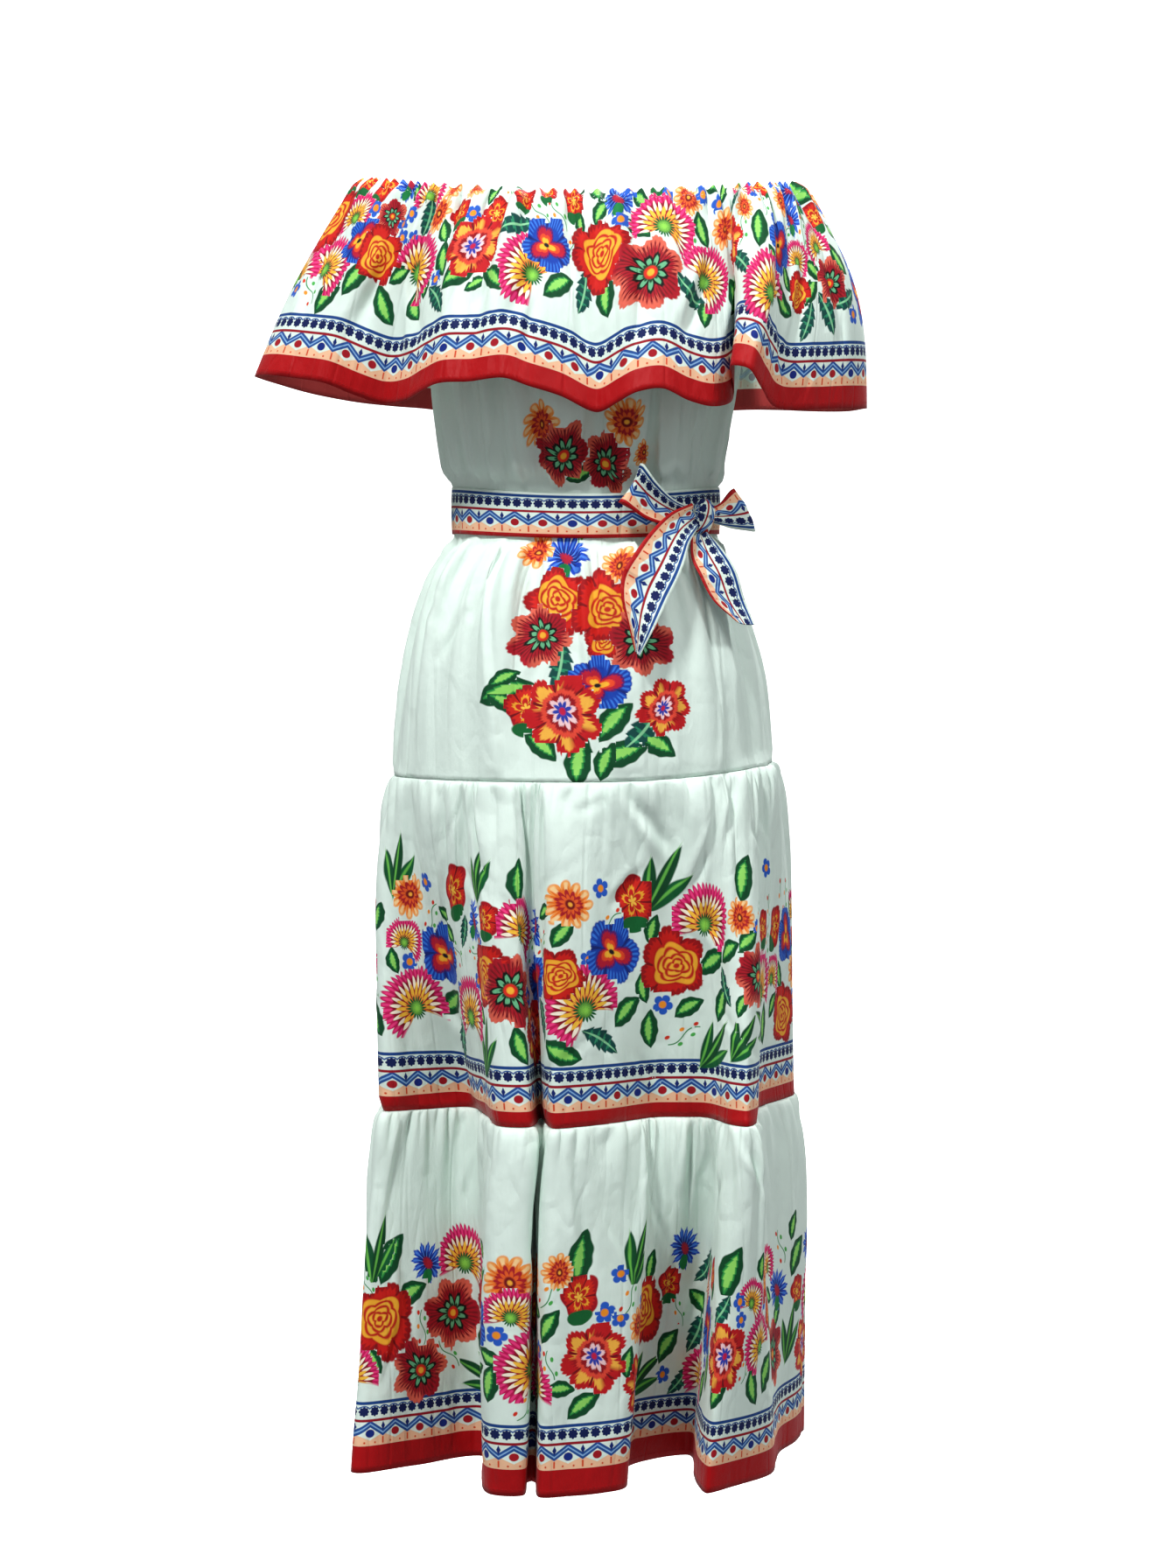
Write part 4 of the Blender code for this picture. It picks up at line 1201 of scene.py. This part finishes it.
def print_faces(piece, places, sides, placed):
    """Give each face its print: the motif that lies on it, the plain border cloth or the back."""
    count = len(places)
    kind_of = np.where(sides == 1, REVERSE, PLAIN).astype(np.int32)
    local = np.zeros((count, 4, 2), np.float32)
    middle = places.mean(axis=1)
    order = sorted(placed, key=lambda motif: (motif.kind not in GREENERY, motif.size > 0.025))
    for motif in order:
        kind = KINDS[motif.kind]
        off = np.abs(middle - (motif.across, motif.up)).max(axis=1)
        near = np.flatnonzero((off < motif.size * MOTIF_REACH) & (sides == 0))
        if not len(near):
            continue
        turn = math.radians(motif.turn)
        if motif.kind in ROUND:
            turn += motif.across * 97 + motif.up * 61
        c, s = math.cos(turn), math.sin(turn)
        off = (places[near] - (motif.across, motif.up)) / motif.size
        own = np.stack((off[..., 0] * c + off[..., 1] * s, -off[..., 0] * s + off[..., 1] * c), -1)
        tried = np.concatenate((own, own.mean(axis=1, keepdims=True),
                                (own + np.roll(own, 1, axis=1)) / 2), axis=1)
        cover = np.max([mask for _, mask in kind(tried[..., 0], tried[..., 1])], axis=0)
        free = kind_of[near] == PLAIN
        mine = np.where(free, cover.max(axis=1) > 0.04, (cover > 0.5).sum(axis=1) >= 7)
        kind_of[near[mine]] = FIRST_MOTIF + MOTIFS.index(kind)
        local[near[mine]] = own[mine]
    mesh = piece.data
    used = sorted(set(kind_of.tolist()))
    for kind in used:
        mesh.materials.append(PRINTED[kind])
    slots = np.zeros(len(PRINTED), np.int32)
    slots[used] = np.arange(len(used))
    mesh.polygons.foreach_set("material_index", slots[kind_of])
    mesh.uv_layers.new(name="motif").data.foreach_set("uv", local.reshape(-1))
    mesh.uv_layers["cloth"].active_render = True


def area_of(panel):
    a, b, c, d = (panel.points[:-1, :-1], panel.points[1:, :-1],
                  panel.points[1:, 1:], panel.points[:-1, 1:])
    return float(np.linalg.norm(np.cross(c - a, d - b), axis=-1).sum() / 2)


def declare(piece, node, flat):
    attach(piece, "root")
    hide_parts(node)


# Stitching

def stitch_row(name, line, normals, material, length=0.0026, gap=0.0012, radius=0.00022):
    """Row of small stitches laid along a line of points on the cloth."""
    way = way_along(line)
    starts = np.arange(gap, way[-1] - length, length + gap)
    rings = []
    for share, girth, lift in ((0.0, 0.35, -0.3), (0.5, 1.0, 0.6), (1.0, 0.35, -0.3)):
        at = starts + share * length
        middle, up, ahead = (
            np.stack([np.interp(spot, way, column) for column in values.T], -1)
            for spot, values in ((at, line), (at, normals), (at + 0.0002, line)))
        aside = unit(np.cross(ahead - middle, up))
        middle = middle + up * radius * lift
        for turn in (0.0, 0.5, 1.0, 1.5):
            rings.append(middle + (aside * math.cos(turn * math.pi)
                                   + up * math.sin(turn * math.pi)) * radius * girth)
    points = np.stack(rings, 1).reshape(-1, 3)
    faces = []
    for stitch in range(len(starts)):
        base = 12 * stitch
        for ring in (0, 4):
            for side in range(4):
                after = (side + 1) % 4
                faces.append((base + ring + side, base + ring + after,
                              base + ring + 4 + after, base + ring + 4 + side))
        faces.append((base + 3, base + 2, base + 1, base))
        faces.append((base + 8, base + 9, base + 10, base + 11))
    piece = plain_mesh(name, points.tolist(), faces)
    piece.data.materials.append(material)
    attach(piece, "root")
    return piece


# Creases placed one by one

RUFFLE_CREASES = crease_rows(
    (6, 46, 90, 96, 2.6, 7), (15, 42, 100, 78, 3.2, 8), (22, 40, 90, 118, 2.8, 7),
    (30, 46, 100, 94, 3.4, 8), (38, 38, 80, 70, 2.4, 6), (45, 46, 100, 100, 3.2, 8),
    (53, 40, 90, 84, 3, 7), (60, 44, 100, 66, 3.4, 7), (66, 36, 80, 62, 3, 6),
    (75, 42, 80, 108, 2.6, 7), (85, 42, 100, 76, 3.2, 8), (92, 44, 90, 100, 3, 7),
)
BODY_CREASES = crease_rows(
    (16, 30, 90, 118, 2.2, 6), (24, 22, 60, 60, 1.6, 5), (30, 62, 100, 82, 2.4, 7),
    (80, 24, 110, 97, 2.2, 7), (86, 40, 80, 75, 1.8, 6), (72, 58, 100, 100, 2.2, 6),
    (42, 18, 70, 70, 1.4, 5),
)
BACK_CREASES = crease_rows(
    (20, 26, 100, 104, 2.2, 6), (36, 34, 80, 76, 1.8, 6), (52, 22, 120, 94, 2, 7),
    (68, 64, 100, 84, 2.2, 6), (82, 30, 90, 70, 1.8, 5), (58, 50, 50, 120, 1.4, 5),
)
UPPER_CREASES = crease_rows(
    (60, 84, 75, 128, 3, 6), (66, 72, 80, 62, 2.8, 6), (57, 66, 60, 40, 2.2, 5),
    (72, 86, 70, 70, 2.6, 6), (78, 78, 50, 140, 2, 5), (30, 74, 90, 105, 2.2, 6),
    (18, 62, 80, 78, 1.8, 6), (44, 50, 70, 110, 1.8, 6), (88, 66, 70, 95, 2, 6),
    (52, 88, 40, 20, 1.4, 4),
)
UPPER_BACK_CREASES = crease_rows(
    (22, 76, 80, 64, 2.6, 6), (34, 62, 90, 118, 2.2, 6), (50, 80, 70, 84, 2.4, 6),
    (62, 58, 60, 40, 1.8, 5), (74, 74, 90, 104, 2.4, 6), (86, 48, 70, 76, 1.8, 6),
)
LOWER_CREASES = crease_rows(
    (80, 88, 70, 126, 2.8, 6), (74, 78, 60, 58, 2.2, 6), (46, 72, 110, 98, 2.6, 7),
    (24, 80, 90, 76, 2, 6), (36, 56, 80, 112, 1.8, 6), (60, 50, 100, 86, 2.2, 6),
    (12, 50, 80, 100, 1.8, 6), (90, 60, 80, 84, 2, 6),
)
LOWER_BACK_CREASES = crease_rows(
    (16, 72, 90, 82, 2.2, 6), (30, 84, 70, 122, 2.4, 6), (48, 60, 110, 94, 2.4, 7),
    (64, 80, 80, 70, 2.2, 6), (80, 54, 90, 106, 2, 6),
)

# Body

for node, middle, seed, table, motifs in (
        ("body_front", 0, 11, BODY_CREASES, BODY_MOTIFS),
        ("body_back", 180, 12, BACK_CREASES, ())):
    panel = body_panel(middle)
    placed = placed_from_view(panel, motifs, BODY_OFFSET)
    panel = dressed_body(panel, seed, table)
    piece, places, sides = shell("cloth_" + node, panel, BODY_OFFSET)
    print_faces(piece, places, sides, placed)
    flat = (float(panel.across.max()), float(panel.up.max()))
    declare(piece, node, flat)


# Ruffle and tiers

def sewn(node, panel, motifs, red, flowers, seed, dressed, seams=(), **sparse):
    """Print and dress a gathered panel, put it in place of its solid, and lay its rows of
    stitches.
    """
    placed = placed_from_view(panel, motifs, red)
    width = float(panel.across.max())
    placed = strewn(placed, width, *flowers, seed, **sparse)
    panel = dressed(panel)
    piece, places, sides = shell("cloth_" + node, panel, red)
    print_faces(piece, places, sides, placed)
    normals = outward_normals(panel.points)
    for seam in seams:
        if seam == "casing":
            from_edge, thread = panel.down[:, panel.down.shape[1] // 2] - CASING_STITCHES, THREAD
        else:
            from_edge, thread = panel.up[:, 0] - HEM_STITCHES, RED_THREAD
        row = int(np.argmin(np.abs(from_edge)))
        stitch_row("stitches_%s_%s" % (seam, node), panel.points[row],
                                   normals[row], thread)
    declare(piece, node, (width, float(panel.up.mean(axis=1).max())))


ruffle_seams = side_seams(RUFFLE_FOLDS)
for node, side, seed, motifs in (("ruffle_front", 0, 21, RUFFLE_MOTIFS),
                                 ("ruffle_back", 1, 22, ())):
    panel = ruffle_panel(*ruffle_seams[side:side + 2])
    sewn(node, panel, motifs, RUFFLE_RED,
         (RUFFLE_FLOWERS_FOOT, float(panel.up.max()) - RUFFLE_RED), seed,
         lambda panel, rest=(seed, RUFFLE_CREASES): dressed_ruffle(panel, *rest),
         ("casing", "hem"), clear=0.76, without=("blades",))

tier_seams = side_seams(TIER_FOLDS)
for node, lower, side, red, seed, table, motifs in (
        ("upper_tier_front", False, 0, UPPER_RED, 31, UPPER_CREASES, UPPER_MOTIFS),
        ("upper_tier_back", False, 1, UPPER_RED, 32, UPPER_BACK_CREASES, ()),
        ("lower_tier_front", True, 0, LOWER_RED, 33, LOWER_CREASES, LOWER_MOTIFS),
        ("lower_tier_back", True, 1, LOWER_RED, 34, LOWER_BACK_CREASES, ())):
    sewn(node, tier_panel(lower, *tier_seams[side:side + 2]), motifs, red, TIER_FLOWERS, seed,
         lambda panel, rest=(seed, table, lower): dressed_tier(panel, *rest),
         ("hem",) if lower else ())


# Sash belt, tied in a bow

def belt_panel():
    """Band round the waist, once round from the middle of the back."""
    ring = BODY_RINGS[BELT_RING]
    angle = np.linspace(-180, 180, BELT_TURNS, endpoint=False)[None]
    share = np.linspace(0, 1, BELT_ROWS)[:, None]
    out = ring_outward(ring, angle)
    in_front = np.maximum(0, cosine(angle)) ** 2
    top = BELT_TOP - BELT_TOP_DIP * in_front
    foot = BELT_FOOT - BELT_FOOT_DIP * in_front
    spine = ring_point(ring, angle)
    across = np.cumsum(np.linalg.norm(np.diff(spine[0], axis=0, prepend=spine[:, -1]), axis=1))
    across = across - across[0] + np.zeros((BELT_ROWS, BELT_TURNS))
    up = np.broadcast_to((1 - share) * BORDER_WIDTH, across.shape)
    ripple = rumple(across, up * 0.4, 0.0010, 41, 0.03, 0.12)
    near_knot = np.exp(-((angle - KNOT_ANGLE) / 16) ** 2)
    pull = near_knot * 0.0009 * np.cos(4.4 * np.pi * share)
    lift = BELT_RELIEF + BELT_WALL + 0.0006 * np.sin(np.pi * share) + ripple + pull
    points = spine + out * lift[..., None]
    points[..., 2] = blend(top, foot, share)
    return Panel(points, across, up, up, angle + np.zeros_like(across))


PLEAT_REACH = 0.016    # how far the knot's pleats run into a ribbon


def ribbon_panel(table, flipped, loop, seed):
    """A ribbon of the bow between its two long edges, pleated where the knot holds it."""
    edges = [np.array([(r.x1, -r.out1, r.level1) for r in table]) * MM,
             np.array([(r.x2, -r.out2, r.level2) for r in table]) * MM]
    edges = [np.concatenate((2 * e[:1] - e[1:2], e, 2 * e[-1:] - e[-2:-1])) for e in edges]
    place = np.linspace(0, len(table) - 1, RIBBON_STEPS * (len(table) - 1) + 1)
    row = np.minimum(place.astype(int), len(table) - 2)
    first, second = (spline(*(e[row + step] for step in range(4)), place - row) for e in edges)
    share = np.linspace(0, 1, RIBBON_ROWS)[None, :, None]
    points = first[:, None] + (second - first)[:, None] * share
    way = way_along((first + second) / 2)
    held = np.exp(-way / PLEAT_REACH)
    if loop:
        held = held + np.exp(-(way[-1] - way) / PLEAT_REACH)
    share = share[..., 0]
    across = way[:, None] + 0.011 * seed + np.zeros_like(share)
    up = np.broadcast_to(1 - share if flipped else share, across.shape) * BORDER_WIDTH
    bow = LOOP_BOW * np.sin(np.pi * share) * (1 - 0.7 * held[:, None])
    pleats = 0.0013 * held[:, None] * np.sin(5.0 * np.pi * share + seed)
    soft = rumple(across, up * 0.8, 0.0016, seed, 0.03, 0.10) * (1 - held[:, None]).clip(0, 1)
    side = unit(np.cross(second - first, np.gradient(first, axis=0)))
    points = points + side[:, None] * (bow + pleats + soft)[..., None]
    return Panel(points, across, up, up, up)


def knot_mesh():
    """The wrapped cloth of the knot: a closed roll with soft pleats round it."""
    ring = BODY_RINGS[BELT_RING]
    angle = np.array(float(KNOT_ANGLE))
    out = ring_outward(ring, angle)
    stand_off = BELT_RELIEF + BELT_WALL + SEAM_GAP + KNOT_SIZE[1] / 2
    centre = ring_point(ring, angle) + out * stand_off
    centre[2] = KNOT_HEIGHT
    along = np.array((-out[1], out[0], 0.0))
    tilt = math.radians(KNOT_TILT)
    right = along * math.cos(tilt) - np.array((0, 0, 1)) * math.sin(tilt)
    up = along * math.sin(tilt) + np.array((0, 0, 1)) * math.cos(tilt)
    turns, steps = KNOT_TURNS, KNOT_ROWS
    round_it = np.linspace(0, 2 * np.pi, turns, endpoint=False)[None]
    s = np.sin(np.linspace(-np.pi / 2, np.pi / 2, steps))[:, None] * 0.995
    girth = np.sqrt(1 - np.abs(s) ** 2.8)
    pleat = 1 + 0.055 * np.cos(s * 3.4 * np.pi + 0.5 * np.sin(round_it + 0.6)) \
        + 0.03 * np.sin(2 * round_it + 3 * s)
    deep = girth * pleat * KNOT_SIZE[1] / 2 * 1.04
    tall = girth * pleat * KNOT_SIZE[2] / 2
    points = (centre + right * (s * KNOT_SIZE[0] / 2 * 1.06)[..., None]
              + out * (deep * np.cos(round_it))[..., None]
              + up * (tall * np.sin(round_it))[..., None])
    index = np.arange(turns * steps).reshape(steps, turns)
    after = np.roll(index, -1, axis=1)
    faces = np.stack((index[:-1], after[:-1], after[1:], index[1:]), -1).reshape(-1, 4).tolist()
    faces += [index[0, ::-1].tolist(), index[-1].tolist()]
    piece = plain_mesh("cloth_bow_knot", points.reshape(-1, 3).tolist(), faces)
    wide = np.broadcast_to(0.036 * (1 - (s + 1) / 2), (steps, turns)).reshape(-1)
    layer = piece.data.uv_layers.new(name="cloth")
    corners = np.array([loop.vertex_index for loop in piece.data.loops])
    round_way = (corners % turns) * (0.078 / turns)
    layer.data.foreach_set("uv", np.stack((round_way, wide[corners]), -1).reshape(-1))
    piece.data.materials.append(PRINTED[PLAIN])
    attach(piece, "root")
    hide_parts("bow_knot")
    return piece


knot = knot_mesh()
band = belt_panel()
piece, places, sides = shell("cloth_belt_band", band, BELT_RED, BELT_SHELL, closed=True)
print_faces(piece, places, sides * 0, ())
declare(piece, "belt_band", (float(band.across.max()), BORDER_WIDTH))

for node, table, flipped, loop, seed in (
        ("bow_loop_left", LOOP_LEFT, True, True, 1),
        ("bow_loop_right", LOOP_RIGHT, False, True, 2),
        ("bow_tail_left", TAIL_LEFT, False, False, 3),
        ("bow_tail_right", TAIL_RIGHT, False, False, 4)):
    panel = ribbon_panel(table, flipped, loop, seed)
    piece, places, sides = shell("cloth_" + node, panel, BELT_RED, RIBBON_SHELL, centred=True)
    print_faces(piece, places, sides * 0, ())
    length = float(np.ptp(panel.across))
    declare(piece, node, (area_of(panel) / length, length))


# Stage, light and camera

def turned_sheet(name, profile, steps=96):
    """Surface of revolution about the upright axis, facing in and up."""
    points, faces = [], []
    for radius, level in profile:
        for step in range(steps):
            turn = 2 * math.pi * step / steps
            points.append((radius * math.cos(turn), radius * math.sin(turn), level))
    for ring in range(len(profile) - 1):
        for step in range(steps):
            after = (step + 1) % steps
            low, high = ring * steps, (ring + 1) * steps
            faces.append((low + step, high + step, high + after, low + after))
    piece = plain_mesh(name, points, faces)
    piece.data.materials.append(STAGE)
    return piece


def stage_material():
    material = bpy.data.materials.new("pale_floor")
    material.use_nodes = True
    tree = material.node_tree
    shader = tree.nodes["Principled BSDF"]
    places = tree.nodes.new("ShaderNodeTexCoord")
    grain = noise(tree, places.outputs["Object"], 6, 2)
    tree.links.new(coat_over(tree, linear("f4f4f3"), [("ececea", grain * 0.4)]),
                   shader.inputs["Base Color"])
    set_inputs(shader, {"Roughness": 0.9, "Specular IOR Level": 0.2,
                        "Emission Color": (1.0, 1.0, 1.0, 1.0), "Emission Strength": 0.8})
    return material


STAGE = stage_material()
FLOOR_LEVEL = -1.28
FLOOR_RADIUS = 4.6
WALL_CURVE = 1.8
WALL_TOP = 9.0
floor = turned_sheet("floor", [(0.001, FLOOR_LEVEL), (FLOOR_RADIUS, FLOOR_LEVEL)])
curve = [(FLOOR_RADIUS + WALL_CURVE * math.sin(turn),
          FLOOR_LEVEL + WALL_CURVE * (1 - math.cos(turn)))
         for turn in np.linspace(0, math.pi / 2, 16)]
wall = turned_sheet("backdrop", curve + [(FLOOR_RADIUS + WALL_CURVE, WALL_TOP)])
for stage in (floor, wall):
    stage.visible_diffuse = False
    stage.visible_glossy = False
    stage.visible_transmission = False
wall.visible_shadow = False


def soft_light(name, place, aim, size, power):
    light = bpy.data.lights.new(name, "AREA")
    light.shape = "DISK"
    light.size = size
    light.energy = power
    lamp = linked(name, light)
    lamp.location = place
    lamp.rotation_euler = (Vector(aim) - Vector(place)).to_track_quat("-Z", "Y").to_euler()


soft_light("key", (-1.6, -2.5, 3.7), (0, 0, -0.6), 0.7, 199)
soft_light("fill", (2.4, -2.3, 2.9), (0, 0, -0.6), 0.8, 68)
soft_light("back", (1.6, 3.0, 2.4), (0, 0, -0.5), 1.6, 100)

world = bpy.data.worlds.new("studio")
world.use_nodes = True
set_inputs(world.node_tree.nodes["Background"],
           {"Color": (0.97, 0.985, 1.0, 1.0), "Strength": 0.31})
bpy.context.scene.world = world
bpy.context.scene.view_settings.view_transform = "Standard"
bpy.context.scene.view_settings.look = "Medium High Contrast"

SENSOR = 36
camera = bpy.data.cameras.new("camera")
camera.sensor_fit = "VERTICAL"
camera.sensor_height = SENSOR
camera.lens = SENSOR * math.hypot(VIEW_DISTANCE, AIM_DROP) / FRAME_HEIGHT
eye = linked("camera", camera)
eye.location = (AXIS_OFFSET, -VIEW_DISTANCE, EYE_LEVEL)
eye.rotation_euler = (math.pi / 2 - math.atan2(AIM_DROP, VIEW_DISTANCE), 0, 0)
bpy.context.scene.camera = eye
